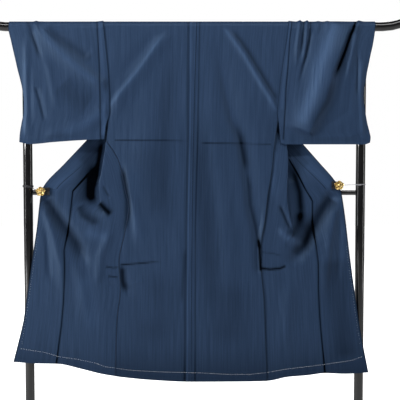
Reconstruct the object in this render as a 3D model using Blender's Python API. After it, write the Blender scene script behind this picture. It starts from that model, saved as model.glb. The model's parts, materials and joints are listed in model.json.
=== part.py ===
"""A man's silk kimono hung on a lacquered kimono stand, seen from its back.

Build frame: metres, +Z up, the back of the kimono faces -Y, the floor is Z = 0.
The tables below are in centimetres. "down" is the depth below the top of the
shoulder line, "out" is the distance from the centre towards either side and
"y" is the distance behind the axis of the top rod.
"""
import math

import bmesh
import bpy
import numpy as np

CM = 0.01

# Driving sizes, metres.
CLOTH = 0.0020
SEAM_GAP = 0.0003
LAP = 0.0030
SHOULDER_Z = 1.6392
ROD_RADIUS = 0.0178
ROD_CLEARANCE = 0.0005
WRAP_RADIUS = ROD_RADIUS + ROD_CLEARANCE + CLOTH
WRAP_STEP_DEGREES = 18.0
ROD_Z = SHOULDER_Z - WRAP_RADIUS
ROD_STRAIGHT = 0.740
ROD_HALF_LENGTH = 0.850
ROD_END_RISE = 0.030
UPRIGHT_RADIUS = 0.0185
UPRIGHT_X = 0.6580
CROSSBAR_RADIUS = 0.0100
CROSSBAR_DROP = 0.6720
FOOT_LENGTH = 0.400
FOOT_WIDTH = 0.070
FOOT_HEIGHT = 0.050
HEM_BLEND_FROM = 118.0
HEM_NOMINAL = 142.0
COLLAR_END = 66.2
KENSAKI_DOWN = 32
ARMPIT_DOWN = 42
TUCK_DOWN = 46
NECK_FREE_FROM = 12

# The same sizes in centimetres, for the tables.
WRAP_CM = WRAP_RADIUS / CM
WRAP_BLEND_FROM = 1.6
LAYER_STEP = (CLOTH + SEAM_GAP) / CM + 0.06
BULB_RUN = 1.2
BULB_DEPTH = 0.9
TURN_ROOM = 0.8
SLEEVE_NOMINAL = 48.0
SLEEVE_STRETCH_FROM = 22.0
CENTRE_ROW_SHARES = (0.0, 0.06, 0.18, 0.31, 0.44, 0.57, 0.70, 0.83, 0.94, 1.0)
SLEEVE_SHARES = (0.0, 0.05, 0.12, 0.22, 0.35, 0.48, 0.61, 0.73, 0.83, 0.92, 1.0)

# Depths of the sections, centimetres below the shoulder line.
ROD_ROWS = tuple(
    WRAP_CM * (1.0 - math.cos(math.radians(WRAP_STEP_DEGREES * step))) for step in range(6)
)
UPPER_ROWS = (5, 9, 14, 20, 26, 32, 38)
SLEEVE_UPPER_ROWS = (5, 9, 14, 20, 23, 26, 32, 38)
NECK_ROWS = (5, 7, 9, 11.5, 14, 20, 26, 32, 38)
LOWER_ROWS = (42, 46, 50, 54, 58, 62, 65.6, 66.8, 70, 74, 78, 82, 87, 95, 105, 117, 129, 142)
SLEEVE_LOW_ROWS = (40, 42, 45, 48)

# Centre back seam: down, x.
CENTRE = ((0, 0.9), (40, -0.2), (80, -0.9), (142, -1.3))
# Hem depth along the hem: x, down.
HEM = ((-71, 134.4), (-64, 134.9), (-54, 135.1), (-45, 137.0), (-37, 139.0), (-30, 140.2),
       (-15, 141.6), (-1, 142.2), (20, 142.1), (29, 141.9), (37, 140.3), (45, 139.6),
       (52, 138.8), (60, 139.1), (69, 138.6))

# Side line of the back: armhole seam to 44 down, side seam below. down, out, y.
BACK_SIDE = {
    "left": ((0, 35.9, -2.06), (2.5, 35.6, -2.06), (10, 34.8, -2.2), (20, 33.9, -2.5),
             (32, 33.4, -2.5), (40, 33.8, -2.3), (46, 34.4, -2.2), (50, 32.0, -2.6), (55, 29.4, -3.0),
             (66, 26.9, -3.6), (73, 25.6, -3.8), (82, 27.0, -3.9), (95, 29.5, -4.0), (105, 29.0, -4.1),
             (118, 30.4, -4.2), (142, 31.2, -4.4)),
    "right": ((0, 37.3, -2.06), (2.5, 37.0, -2.06), (8, 36.3, -2.2), (14, 35.3, -2.3),
              (20, 34.5, -2.5), (28, 33.6, -2.5), (36, 33.0, -2.4), (42, 32.2, -2.2), (48, 31.4, -2.4),
              (58, 30.4, -3.1), (68, 28.8, -3.6), (78, 27.6, -3.8), (88, 26.2, -4.0), (97, 26.3, -4.0),
              (110, 27.4, -4.2), (142, 28.6, -4.4)),
}
# Centre line of the back: down, y.
BACK_MID = ((2.5, -2.06), (20, -2.4), (45, -3.0), (66, -3.7), (90, -4.1), (142, -4.6))

# Lines of the front panel, from the side seam round to the free edge. down, out, y.
FRONT_SEAM_Y = ((2.5, 2.06), (20, 1.8), (32, 1.0), (38, -0.1), (42, -1.3), (46, -1.95))
ARMPIT_FOLD = {
    "left": ((0, 32.6, 2.06), (2.5, 32.4, 2.06), (20, 30.8, 2.05), (32, 30.0, 1.6), (38, 31.2, 0.9),
             (42, 33.9, -0.4), (46, 35.0, -1.4), (50, 35.4, -2.4), (55, 36.2, -3.1), (60, 37.0, -3.6),
             (63.5, 37.8, -3.8), (68, 37.5, -3.9), (72, 37.0, -3.9), (76, 34.5, -3.9),
             (80, 33.2, -3.9), (95, 34.8, -4.0), (142, 36.5, -4.4)),
    "right": ((0, 34.0, 2.06), (2.5, 33.8, 2.06), (20, 31.4, 2.05), (32, 30.0, 1.6), (38, 30.4, 0.9),
              (42, 32.2, -0.25), (46, 35.2, -1.4), (49, 36.9, -2.2), (54, 37.3, -3.0),
              (60, 37.2, -3.5), (66, 36.9, -3.8), (72, 37.2, -3.9), (78, 38.4, -3.9), (82, 39.2, -3.9),
              (86, 37.0, -3.9), (90, 33.0, -3.9), (142, 34.0, -4.4)),
}
ROLL_LINE = {
    "left": ((0, 11, 2.06), (2.5, 9.9, 2.06), (5, 7.6, 2.2), (8, 4.6, 2.3), (11, 3.6, 2.4),
             (15, 4.4, 2.5), (20, 6.6, 2.6), (30, 11.5, 2.6), (45, 15.5, 2.2), (52, 21, 1.6),
             (60, 29.5, 0.1), (64, 32.2, -1.75), (68, 34.4, -1.9), (72, 35.1, -2.25), (76, 36.6, -3.5),
             (80, 37.4, -3.8), (95, 39, -4.0), (142, 41.5, -4.4)),
    "right": ((0, 11, 2.06), (2.5, 10.1, 2.06), (5, 8.1, 2.2), (8, 5.6, 2.3), (11, 4.6, 2.4),
              (15, 5.2, 2.5), (20, 7.4, 2.6), (30, 12, 2.6), (45, 16.5, 2.2), (52, 22.5, 1.6),
              (60, 29.5, 0.1), (64, 32.0, -1.75), (68, 33.2, -1.9), (74, 35.2, -2.1), (80, 37.6, -2.5),
              (86, 39.8, -3.6), (90, 37.6, -3.8), (142, 39.5, -4.4)),
}
POCKET_BACK = {
    "left": ((0, 10.4, 2.06), (2.5, 9.4, 2.06), (5, 7.1, 2.4), (8, 4.5, 2.8), (11, 3.8, 3.1),
             (15, 4.8, 3.3), (20, 7.6, 3.5), (30, 14.0, 3.8), (45, 21, 3.6), (52, 26.5, 2.8),
             (60, 33.6, 0.9), (64, 36.4, -1.55), (68, 38.0, -1.60), (72, 38.3, -2.0), (76, 38.2, -3.3),
             (80, 39.6, -3.8), (95, 42, -4.0), (142, 45.5, -4.4)),
    "right": ((0, 10.5, 2.06), (2.5, 9.6, 2.06), (5, 7.7, 2.4), (8, 5.5, 2.8), (11, 4.8, 3.1),
              (15, 5.6, 3.3), (20, 8.4, 3.5), (30, 14.5, 3.8), (45, 22, 3.6), (52, 28.0, 2.8),
              (60, 34.0, 0.9), (64, 36.4, -1.55), (68, 38.0, -1.60), (74, 39.2, -1.8),
              (80, 40.3, -2.2), (86, 41.0, -3.4), (90, 40.6, -3.8), (142, 43, -4.4)),
}
LIP = {
    "left": ((0, 9.8, 2.06), (2.5, 9.0, 2.06), (5, 6.7, 2.45), (8, 4.6, 3.1), (11, 4.3, 3.45),
             (15, 5.6, 3.6), (20, 9.0, 3.8), (30, 17.6, 3.8), (45, 29.8, 2.8), (50, 35.2, 1.6),
             (55, 38.8, 0.4), (60, 41.0, -0.8), (64, 42.0, -1.75), (68, 41.6, -1.9), (72, 40.2, -2.2),
             (76, 40.0, -3.1), (80, 42.4, -3.7), (95, 45.6, -3.9), (142, 49, -4.3)),
    "right": ((0, 9.9, 2.06), (2.5, 9.1, 2.06), (5, 7.3, 2.45), (8, 5.5, 3.1), (11, 5.2, 3.45),
              (15, 6.4, 3.6), (20, 9.8, 3.8), (30, 17.6, 3.8), (45, 29.8, 2.8), (50, 34.9, 1.6),
              (55, 37.9, 0.4), (60, 39.9, -0.8), (64, 41.5, -1.75), (70, 43.2, -1.9), (76, 43.6, -2.0),
              (82, 42.9, -2.5), (86, 42.4, -3.2), (90, 43.6, -3.7), (142, 46.6, -4.3)),
}
FREE_EDGE = {
    "left": ((0, 0.02, 2.06), (1.2, 0.02, 2.06), (2.5, 0.9, 2.06), (5, 4.1, 3.0), (6.5, 5.5, 3.9),
             (9, 7.8, 4.1), (14, 12.5, 3.9), (20, 18.1, 3.7), (36, 32.9, 2.9), (46.6, 42.7, 1.4),
             (56, 51.5, -0.4), (64, 59.0, -1.85), (66.5, 60.2, -2.0), (70, 60.9, -2.2),
             (80, 62.0, -2.7), (90, 63.5, -3.1), (100, 65.0, -3.4), (120, 68.0, -3.7),
             (142, 71.8, -3.9)),
    "right": ((0, 0.02, 2.06), (1.2, 0.02, 2.06), (2.5, 1.1, 2.06), (5, 5.0, 3.0), (6.5, 6.4, 3.9),
              (9, 8.6, 4.1), (14, 13.1, 3.9), (20, 18.4, 3.7), (36, 32.4, 2.9), (48.3, 43.3, 1.1),
              (56, 50.0, -0.6), (61.5, 54.8, -1.6), (66.5, 57.9, -2.0), (70, 58.6, -2.2),
              (80, 60.0, -2.7), (90, 61.2, -3.1), (100, 62.6, -3.4), (120, 65.5, -3.7),
              (142, 69.2, -3.9)),
}
# How far the armpit fold is shut: 1 is a pocket, 0 is flat cloth. down, share.
FOLD_SHUT = {
    "left": ((42, 0.0), (46, 0.7), (50, 1.0), (70, 1.0), (74, 0.3), (76, 0.0)),
    "right": ((42, 0.0), (46, 0.7), (50, 1.0), (78, 1.0), (84, 0.3), (86, 0.0)),
}
# Okumi seam: down, out.
OKUMI_SEAM = {
    "left": ((30, 18.6), (45, 31.0), (50, 36.3), (55, 39.8), (60, 42.0), (62, 43.2), (66.5, 47.9),
             (70, 48.3), (79, 49.4), (90, 51.3), (97, 51.1), (110, 51.7), (120, 52.6), (142, 54.8)),
    "right": ((30, 18.6), (45, 30.9), (50, 36.0), (55, 38.9), (60, 40.9), (65.5, 43.6), (70.5, 46.7),
              (79, 46.7), (87, 48.0), (95, 49.0), (105, 49.1), (120, 50.0), (142, 52.0)),
}
# How far the collar seam lies towards the centre from the free edge: down, run.
COLLAR_RUN = ((0, -9.2), (2.5, -7.6), (5, -2.1), (8, 2.1), (11, 4.7), (15, 6.9), (20, 7.8), (50, 7.9),
              (58, 7.4), (65.6, 5.6))

# Sleeve cuff edge of the layer that faces the camera: down, out, y.
CUFF = {
    "left": ((0, 72.4, -2.06), (2.5, 72.6, -2.06), (7.5, 71.6, -2.3), (15, 69.9, -2.7),
             (19, 69.0, -2.9), (23, 68.0, -2.9), (26, 67.4, -2.72), (31, 66.9, -2.70),
             (36, 67.0, -2.70), (40, 67.7, -2.70), (45, 68.5, -2.70), (48, 68.7, -2.70)),
    "right": ((0, 70.9, -2.06), (2.5, 70.8, -2.06), (9, 69.9, -2.3), (13, 69.0, -2.6),
              (17, 68.2, -2.8), (20, 67.6, -2.9), (23, 67.2, -2.9), (26, 66.6, -2.72),
              (30, 66.4, -2.70), (34, 66.9, -2.70), (40, 67.9, -2.70), (44, 68.9, -2.70),
              (46, 69.3, -2.70), (48, 69.1, -2.70)),
}
# Outer edge of the layer behind: it passes inside the upright, then comes round in front of it.
REAR_CUFF = {
    "left": ((0, 72.4, 2.06), (1.2, 72.0, 2.06), (2.5, 71.0, 2.06), (3.6, 68.6, 2.2), (5, 64.6, 2.3),
             (6.5, 63.3, 2.2), (12, 62.8, 1.4), (17, 62.8, 0.2), (21, 63.2, -1.6), (23.4, 64.6, -2.22),
             (26, 67.3, -2.24), (31, 66.8, -2.24), (36, 66.9, -2.24), (40, 67.6, -2.24),
             (48, 68.6, -2.24)),
    "right": ((0, 70.9, 2.06), (1.2, 70.7, 2.06), (2.5, 70.0, 2.06), (3.6, 68.0, 2.2), (5, 64.4, 2.3),
              (6.5, 63.3, 2.2), (12, 62.8, 1.4), (17, 62.8, 0.2), (21, 63.2, -1.6),
              (23.4, 64.4, -2.22), (26, 66.5, -2.24), (30, 66.3, -2.24), (34, 66.8, -2.24),
              (40, 67.8, -2.24), (46, 69.2, -2.24), (48, 69.0, -2.24)),
}
# Inner edge of the sleeve: the armhole seam to 38 down, free and closed below. down, out, y.
SLEEVE_INNER = {
    "left": ((0, 35.6, -2.42), (2.5, 35.3, -2.42), (10, 34.5, -2.52), (20, 33.6, -2.80),
             (32, 33.1, -2.80), (36, 33.1, -2.78), (38, 33.4, -2.70), (40, 34.0, -2.72),
             (42, 34.5, -2.75), (46, 35.0, -2.75), (48, 35.2, -2.75)),
    "right": ((0, 37.0, -2.42), (2.5, 36.7, -2.42), (8, 36.0, -2.52), (14, 35.0, -2.60),
              (20, 34.2, -2.80), (28, 33.3, -2.80), (36, 32.7, -2.72), (42, 33.3, -2.75),
              (48, 33.8, -2.75)),
}
SLEEVE_INNER_REAR_Y = ((2.5, 2.42), (20, 2.22), (32, 1.54), (38, 0.85), (40, 0.15), (42, -1.2),
                       (45, -2.15), (48, -2.28))
# Depth of the sleeve bag: down, front y, rear y at mid sleeve.
SLEEVE_BELLY = ((2.5, -2.06, 2.06), (10, -2.9, 1.9), (20, -3.5, 1.2), (32, -3.7, 0.0), (40, -3.6, -1.0),
                (48, -2.75, -2.28))
SLEEVE_SHIN = ((2.5, -2.06, 2.06), (10, -2.8, 1.9), (17, -3.3, 0.9), (23, -3.5, -0.9), (28, -3.5, -1.9),
               (40, -3.4, -2.2), (48, -2.75, -2.28))
# Bottom of the sleeves, from the armhole side to the cuff: share of width, down.
SLEEVE_BOTTOM = {
    "left": ((0.0, 46.0), (0.3, 46.5), (0.6, 47.2), (0.88, 48.0), (1.0, 47.2)),
    "right": ((0.0, 47.4), (0.06, 48.1), (0.5, 48.1), (0.94, 48.1), (1.0, 47.4)),
}

# Folds: x and down at the head, x and down at the tail, half width, height at head and tail.
BACK_FOLDS = (
    (-10.0, 3.0, -33.0, 32.0, 2.2, 0.25, 0.55),
    (14.0, 3.0, 33.0, 34.0, 2.4, 0.30, 0.75),
    (10.0, 6.0, 25.0, 96.0, 2.8, -0.25, -0.85),
    (14.5, 18.0, 30.5, 92.0, 2.6, 0.15, 0.60),
    (5.0, 30.0, 12.0, 130.0, 4.5, 0.10, 0.60),
    (-18.0, 20.0, -16.0, 84.0, 5.0, 0.10, 0.45),
    (-27.6, 56.0, -25.0, 90.0, 2.0, 0.45, 0.35),
    (-3.5, 88.0, -5.0, 116.0, 1.8, -0.35, -0.15),
)
FRONT_FOLDS = {
    "left": (
        (-59.0, 69.0, -36.0, 112.0, 3.0, -0.7, -0.3),
        (-60.0, 71.0, -55.0, 118.0, 2.2, 0.35, 0.45),
        (-58.0, 78.0, -46.0, 128.0, 3.0, 0.35, 0.35),
        (-60.0, 80.0, -57.5, 126.0, 1.6, -0.2, -0.3),
        (-38.0, 80.0, -36.0, 120.0, 4.0, 0.3, 0.3),
    ),
    "right": (
        (55.0, 69.0, 40.0, 94.0, 3.0, -0.9, -0.7),
        (56.5, 70.0, 52.0, 120.0, 2.4, 0.35, 0.55),
        (57.5, 74.0, 57.0, 112.0, 1.8, -0.2, -0.4),
        (33.0, 84.0, 40.0, 87.5, 2.2, 0.4, 0.5),
        (38.0, 98.0, 38.0, 132.0, 4.5, 0.3, 0.4),
    ),
}
SLEEVE_FOLDS = {
    "left": (
        (-62.0, 0.0, -36.5, 22.0, 2.3, 0.55, 0.35),
        (-60.0, 0.4, -40.0, 13.0, 1.5, -0.05, -0.25),
        (-63.4, 0.0, -59.5, 14.0, 1.3, 0.30, -0.10),
        (-63.0, 24.0, -57.5, 43.0, 1.8, -0.25, -0.25),
        (-66.0, 6.0, -66.0, 44.0, 2.0, 0.20, 0.35),
        (-56.0, 14.0, -51.0, 40.0, 2.4, 0.15, 0.30),
        (-38.0, 38.0, -60.0, 45.5, 2.0, 0.30, 0.20),
    ),
    "right": (
        (63.0, 0.0, 41.0, 44.0, 1.9, -0.10, -0.10),
        (60.0, 3.0, 47.0, 32.0, 1.7, 0.25, 0.50),
        (61.0, 6.0, 51.0, 30.0, 1.5, -0.55, -0.35),
        (63.0, 0.0, 62.2, 10.0, 1.0, 0.55, 0.20),
        (42.0, 0.0, 40.4, 18.0, 1.0, 0.50, 0.15),
        (44.4, 0.0, 43.0, 17.0, 0.9, 0.45, 0.15),
        (48.0, 2.0, 43.0, 38.0, 2.2, 0.30, 0.45),
        (65.8, 10.0, 65.6, 44.0, 1.5, 0.20, 0.45),
        (46.0, 6.0, 43.4, 24.0, 1.1, -0.20, -0.10),
    ),
}

# Clips: out, down of the flower, out of the jaw tip, cord drop, cord radius.
CLIPS = {
    "left": (60.6, 66.6, 57.0, 64.3, 0.00125),
    "right": (57.0, 64.2, 54.2, 63.8, 0.00075),
}
FLOWER_RADIUS = 0.0185
FLOWER_HEIGHT = 0.009
FLOWER_PETALS = 5
FLOWER_NOTCH = 0.16
PETAL_STEPS = 4
# Rings of a blossom, from its foot up to its raised centre: share of radius, share of height.
FLOWER_RINGS = ((1.0, 0.0), (1.0, 0.35), (0.72, 0.8), (0.42, 0.62), (0.22, 1.0))
JAW_THICK = 0.0030
JAW_HEIGHT = 0.030
JAW_SLACK = 0.0032
CORD_LEAD = 0.0040
CORD_LOOPS = {"left": 3, "right": 2}
CORD_LOOP_POINTS = 14
CORD_SPACING = 0.0005

SIDES = {"left": -1.0, "right": 1.0}


def read_line(table, at, column):
    """Read one column of a table at a depth, on a curve that never overshoots its rows."""
    keys = [row[0] for row in table]
    values = [row[column] for row in table]
    if at <= keys[0]:
        return values[0]
    if at >= keys[-1]:
        return values[-1]
    spot = max(index for index, key in enumerate(keys) if key <= at)
    steps = [(values[k + 1] - values[k]) / (keys[k + 1] - keys[k]) for k in range(len(keys) - 1)]

    def slope(index):
        if index == 0:
            return steps[0]
        if index == len(keys) - 1:
            return steps[-1]
        before, after = steps[index - 1], steps[index]
        if before * after <= 0.0:
            return 0.0
        return 2.0 * before * after / (before + after)

    span = keys[spot + 1] - keys[spot]
    share = (at - keys[spot]) / span
    rise = values[spot + 1] - values[spot]
    start = slope(spot) * span
    end = slope(spot + 1) * span
    cubic = start + end - 2.0 * rise
    square = 3.0 * rise - 2.0 * start - end
    return values[spot] + share * (start + share * (square + share * cubic))


def wrap_y(down, face, value, lift=0.0):
    """Keep the cloth round the rod near the shoulder line; below it the table's y is used."""
    radius = WRAP_CM + lift
    depth = down + lift
    if down >= radius:
        return value
    around = face * math.sqrt(max(radius ** 2 - (radius - depth) ** 2, (0.5 * SEAM_GAP / CM) ** 2))
    blend = max(0.0, (down - WRAP_BLEND_FROM) / (radius - WRAP_BLEND_FROM))
    return around * (1.0 - blend) + value * blend


def fold_height(folds, x, down):
    """Sum the folds of a table at one place: a rounded ridge or trough along each row's line."""
    total = 0.0
    for head_x, head_down, tail_x, tail_down, half, at_head, at_tail in folds:
        run_x, run_down = tail_x - head_x, tail_down - head_down
        length_square = run_x ** 2 + run_down ** 2
        along = ((x - head_x) * run_x + (down - head_down) * run_down) / length_square
        held = min(max(along, 0.0), 1.0)
        off_x = x - head_x - held * run_x
        off_down = down - head_down - held * run_down
        width = half * (1.0 + 0.7 * held)
        fade = math.exp(-(off_x ** 2 + off_down ** 2) / width ** 2)
        total += fade * (at_head + (at_tail - at_head) * held)
    return total


def turn_room(before, tip, after):
    """How far from a fold's tip its two layers are far enough apart for two walls of cloth."""
    first = np.array(before) - np.array(tip)
    second = np.array(after) - np.array(tip)
    reach = min(np.linalg.norm(first), np.linalg.norm(second))
    cosine = float(np.dot(first, second)) / max(np.linalg.norm(first) * np.linalg.norm(second), 1e-9)
    half = 0.5 * math.acos(max(-1.0, min(1.0, cosine)))
    return min(0.7 * reach, max(TURN_ROOM, 1.35 * CLOTH / CM / math.sin(max(half, 0.05))))


def toward(tip, other, room):
    """The point a given distance from one point towards another."""
    step = np.array(other) - np.array(tip)
    return np.array(tip) + step * room / max(np.linalg.norm(step), 1e-9)


def grid_normals(grid, face):
    """Outward unit normals of a grid of points, each the mean of its neighbouring faces."""
    first = grid[1:, 1:] - grid[:-1, :-1]
    second = grid[1:, :-1] - grid[:-1, 1:]
    flat = np.cross(second, first) * face
    flat /= np.maximum(np.linalg.norm(flat, axis=2, keepdims=True), 1e-12)
    total = np.zeros_like(grid)
    total[:-1, :-1] += flat
    total[:-1, 1:] += flat
    total[1:, :-1] += flat
    total[1:, 1:] += flat
    return total / np.maximum(np.linalg.norm(total, axis=2, keepdims=True), 1e-12)


def material(name, colour, roughness, metallic):
    made = bpy.data.materials.new(name)
    made.use_nodes = True
    shader = made.node_tree.nodes["Principled BSDF"]
    shader.inputs["Base Color"].default_value = (*colour, 1.0)
    shader.inputs["Roughness"].default_value = roughness
    shader.inputs["Metallic"].default_value = metallic
    made.diffuse_color = (*colour, 1.0)
    return made


def link(name, bm, made_material, smooth=True):
    bmesh.ops.recalc_face_normals(bm, faces=bm.faces[:])
    mesh = bpy.data.meshes.new(name)
    bm.to_mesh(mesh)
    bm.free()
    mesh.materials.append(made_material)
    for polygon in mesh.polygons:
        polygon.use_smooth = smooth
    made = bpy.data.objects.new(name, mesh)
    bpy.context.scene.collection.objects.link(made)
    return made


def add_wall(name, grid, normals, thick, made_material):
    """Close a grid of outer points into a wall of cloth, thick along the inward normals."""
    inner = grid - normals * thick
    rows, columns = grid.shape[:2]
    bm = bmesh.new()
    outer_verts = [[bm.verts.new(grid[i, j]) for j in range(columns)] for i in range(rows)]
    inner_verts = [[bm.verts.new(inner[i, j]) for j in range(columns)] for i in range(rows)]
    for i in range(rows - 1):
        for j in range(columns - 1):
            for layer, turn in ((outer_verts, 1), (inner_verts, -1)):
                face = (layer[i][j], layer[i][j + 1], layer[i + 1][j + 1], layer[i + 1][j])
                bm.faces.new(face[::turn])
    rim = [(0, j) for j in range(columns)] + [(i, columns - 1) for i in range(1, rows)]
    rim += [(rows - 1, j) for j in range(columns - 2, -1, -1)] + [(i, 0) for i in range(rows - 2, 0, -1)]
    for k, here in enumerate(rim):
        there = rim[(k + 1) % len(rim)]
        face = (outer_verts[here[0]][here[1]], outer_verts[there[0]][there[1]],
                inner_verts[there[0]][there[1]], inner_verts[here[0]][here[1]])
        bm.faces.new(face)
    bm.normal_update()
    bmesh.ops.triangulate(bm, faces=bm.faces[:])
    return link(name, bm, made_material)


def pull_edges(grid, near=True, far=True):
    """Move the first and last column half a seam gap inwards along the cloth."""
    moved = grid.copy()
    for wanted, edge, inside in ((near, 0, 1), (far, -1, -2)):
        if wanted:
            step = moved[:, inside] - moved[:, edge]
            size = np.linalg.norm(step, axis=1, keepdims=True)
            moved[:, edge] += step / np.maximum(size, 1e-9) * (0.5 * SEAM_GAP)
    return moved


def add_panel(name, depths, grid, normals, made_material):
    """A long panel in two lengths, which meet at the tuck that is sewn across it."""
    cut = depths.index(TUCK_DOWN)
    upper, lower = grid[:cut + 1].copy(), grid[cut:].copy()
    for length, edge, inside in ((upper, -1, -2), (lower, 0, 1)):
        step = length[inside] - length[edge]
        size = np.linalg.norm(step, axis=1, keepdims=True)
        length[edge] += step / np.maximum(size, 1e-9) * (0.5 * SEAM_GAP)
    add_wall(name + "_upper", upper, normals[:cut + 1], CLOTH, made_material)
    add_wall(name + "_lower", lower, normals[cut:], CLOTH, made_material)


def to_world(x, y, down):
    return (x * CM, y * CM, SHOULDER_Z - down * CM)


def seam_hold(down):
    """0 above the armpit, where the back's side is held flat at the armhole, 1 below it."""
    return min(1.0, max(0.0, (down - 48.0) / 8.0))


def hem_down(x, down):
    """Lengthen or shorten the lowest sections so that the last one follows the hem."""
    if down <= HEM_BLEND_FROM:
        return down
    share = (down - HEM_BLEND_FROM) / (HEM_NOMINAL - HEM_BLEND_FROM)
    return HEM_BLEND_FROM + share * (read_line(HEM, x, 1) - HEM_BLEND_FROM)


def build_back(silk):
    """Left and right back panels, sewn at the centre: a shallow wall from the rod to the hem."""
    depths = ROD_ROWS + UPPER_ROWS + LOWER_ROWS
    panels = {}
    for side, sign in SIDES.items():
        rows = []
        for down in depths:
            mid_x = read_line(CENTRE, down, 1)
            mid_y = read_line(BACK_MID, down, 1)
            side_x = sign * read_line(BACK_SIDE[side], down, 1)
            side_y = read_line(BACK_SIDE[side], down, 2)
            row = []
            for share in CENTRE_ROW_SHARES:
                x = mid_x + (side_x - mid_x) * share
                y = mid_y + (side_y - mid_y) * share ** 3
                ease = min(1.0, max(0.0, (down - 3.0) / 5.0))
                hold = seam_hold(down)
                ease *= hold + (1.0 - hold) * min(1.0, (1.0 - share) / 0.12)
                y -= ease * fold_height(BACK_FOLDS, x, down)
                row.append(to_world(x, wrap_y(down, -1.0, y), hem_down(x, down)))
            rows.append(row)
        panels[side] = np.array(rows)
    whole = np.concatenate((panels["left"][:, ::-1], panels["right"][:, 1:]), axis=1)
    normals = grid_normals(whole, 1.0)
    normals[0] = (0.0, 0.0, 1.0)
    if normals[10, 10, 1] > 0.0:
        normals[1:] *= -1.0
    middle = len(CENTRE_ROW_SHARES) - 1
    left = pull_edges(whole[:, :middle + 1], near=False)
    right = pull_edges(whole[:, middle:], far=False)
    add_panel("back_left", depths, left, normals[:, :middle + 1], silk)
    add_panel("back_right", depths, right, normals[:, middle:], silk)


def front_section(side, down):
    """The front at one depth, from the side seam round to the free edge: a row of points a piece."""
    back_out = read_line(BACK_SIDE[side], down, 1)
    if down <= ARMPIT_DOWN:
        seam = (back_out, read_line(FRONT_SEAM_Y, down, 1))
    else:
        seam = (back_out - LAP / CM, read_line(BACK_SIDE[side], down, 2) + LAYER_STEP)
    fold, roll, pocket, lip, edge = (
        (read_line(table[side], down, 1), read_line(table[side], down, 2))
        for table in (ARMPIT_FOLD, ROLL_LINE, POCKET_BACK, LIP, FREE_EDGE))
    leg = math.dist(fold, roll)
    bulb = toward(fold, roll, min(BULB_RUN, 0.4 * leg))
    bulb = bulb + np.array((0.0, min(BULB_DEPTH, 0.15 * leg))) * read_line(FOLD_SHUT[side], down, 1)
    fold_room = turn_room(seam, fold, bulb)
    roll_room = turn_room(bulb, roll, pocket)
    half_way = 0.5 * (fold_room + math.dist(seam, fold))
    front = [seam, toward(fold, seam, half_way), toward(fold, seam, fold_room)]
    half_way = 0.5 * (roll_room + math.dist(roll, bulb))
    front += [fold, bulb, toward(roll, bulb, half_way)]
    front += [toward(roll, bulb, roll_room), roll, pocket, 0.5 * (np.array(pocket) + np.array(lip)), lip]

    def on_taut_cloth(out):
        share = abs(out - lip[0]) / max(abs(edge[0] - lip[0]), abs(out - lip[0]), 0.1)
        share = min(0.9, share) if down > NECK_FREE_FROM else 0.1
        return (out, lip[1] + (edge[1] - lip[1]) * share)

    collar_seam = on_taut_cloth(edge[0] - read_line(COLLAR_RUN, down, 1))
    okumi_seam = on_taut_cloth(read_line(OKUMI_SEAM[side], down, 1))
    has_okumi = down >= KENSAKI_DOWN
    has_collar = down <= COLLAR_END
    front_end = okumi_seam if has_okumi else collar_seam
    okumi_end = collar_seam if has_collar else edge
    rows = {"front": front + [0.5 * (np.array(lip) + np.array(front_end)), front_end]}
    if has_okumi:
        rows["okumi"] = list(np.linspace(okumi_seam, okumi_end, 5))
    if has_collar:
        rows["collar"] = list(np.linspace(collar_seam, edge, 4))
    for piece in rows:
        rows[piece] = [(out, wrap_y(down, 1.0, y)) for out, y in rows[piece]]
    return rows


def shared_edge(first, second):
    """Average the normals of two columns that meet at a seam."""
    total = first + second
    return total / np.maximum(np.linalg.norm(total, axis=1, keepdims=True), 1e-9)


def build_front(side, silk):
    """Front panel, okumi and collar of one side, cut from one folded section."""
    sign = SIDES[side]
    depths = ROD_ROWS + NECK_ROWS + LOWER_ROWS
    okumi_from = depths.index(KENSAKI_DOWN)
    collar_to = max(k for k, down in enumerate(depths) if down <= COLLAR_END) + 1
    rows = {"front": [], "okumi": [], "collar": []}
    for down in depths:
        section = front_section(side, down)
        seam_out = section["front"][0][0]
        for piece, places in section.items():
            row = []
            for place, (out, y) in enumerate(places):
                x = sign * out
                ease = min(1.0, max(0.0, (down - 68.0) / 6.0))
                away = max(0.0, abs(out - seam_out) - LAP / CM)
                y -= ease * min(1.0, away / 2.0) * fold_height(FRONT_FOLDS[side], x, down)
                if piece == "front" and (place < 3 or down > 80.0):
                    y -= seam_hold(down) * max(0.0, 1.0 - away / 5.0) * fold_height(BACK_FOLDS, x, down)
                row.append(to_world(x, y, hem_down(x, down)))
            rows[piece].append(row)
    grids = {piece: np.array(found) for piece, found in rows.items()}
    normals = {piece: grid_normals(grid, sign) for piece, grid in grids.items()}
    for piece in ("front", "collar"):
        normals[piece][0] = (0.0, 0.0, 1.0)
    meet = shared_edge(normals["front"][:okumi_from, -1], normals["collar"][:okumi_from, 0])
    normals["front"][:okumi_from, -1] = meet
    normals["collar"][:okumi_from, 0] = meet
    meet = shared_edge(normals["front"][okumi_from:, -1], normals["okumi"][:, 0])
    normals["front"][okumi_from:, -1] = meet
    normals["okumi"][:, 0] = meet
    shared = collar_to - okumi_from
    meet = shared_edge(normals["okumi"][:shared, -1], normals["collar"][okumi_from:, 0])
    normals["okumi"][:shared, -1] = meet
    normals["collar"][okumi_from:, 0] = meet
    add_panel("front_" + side, depths, pull_edges(grids["front"], near=False), normals["front"], silk)
    add_wall("okumi_" + side, pull_edges(grids["okumi"], far=False), normals["okumi"], CLOTH, silk)
    add_wall("collar_" + side, pull_edges(grids["collar"], far=False), normals["collar"], CLOTH, silk)


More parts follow.
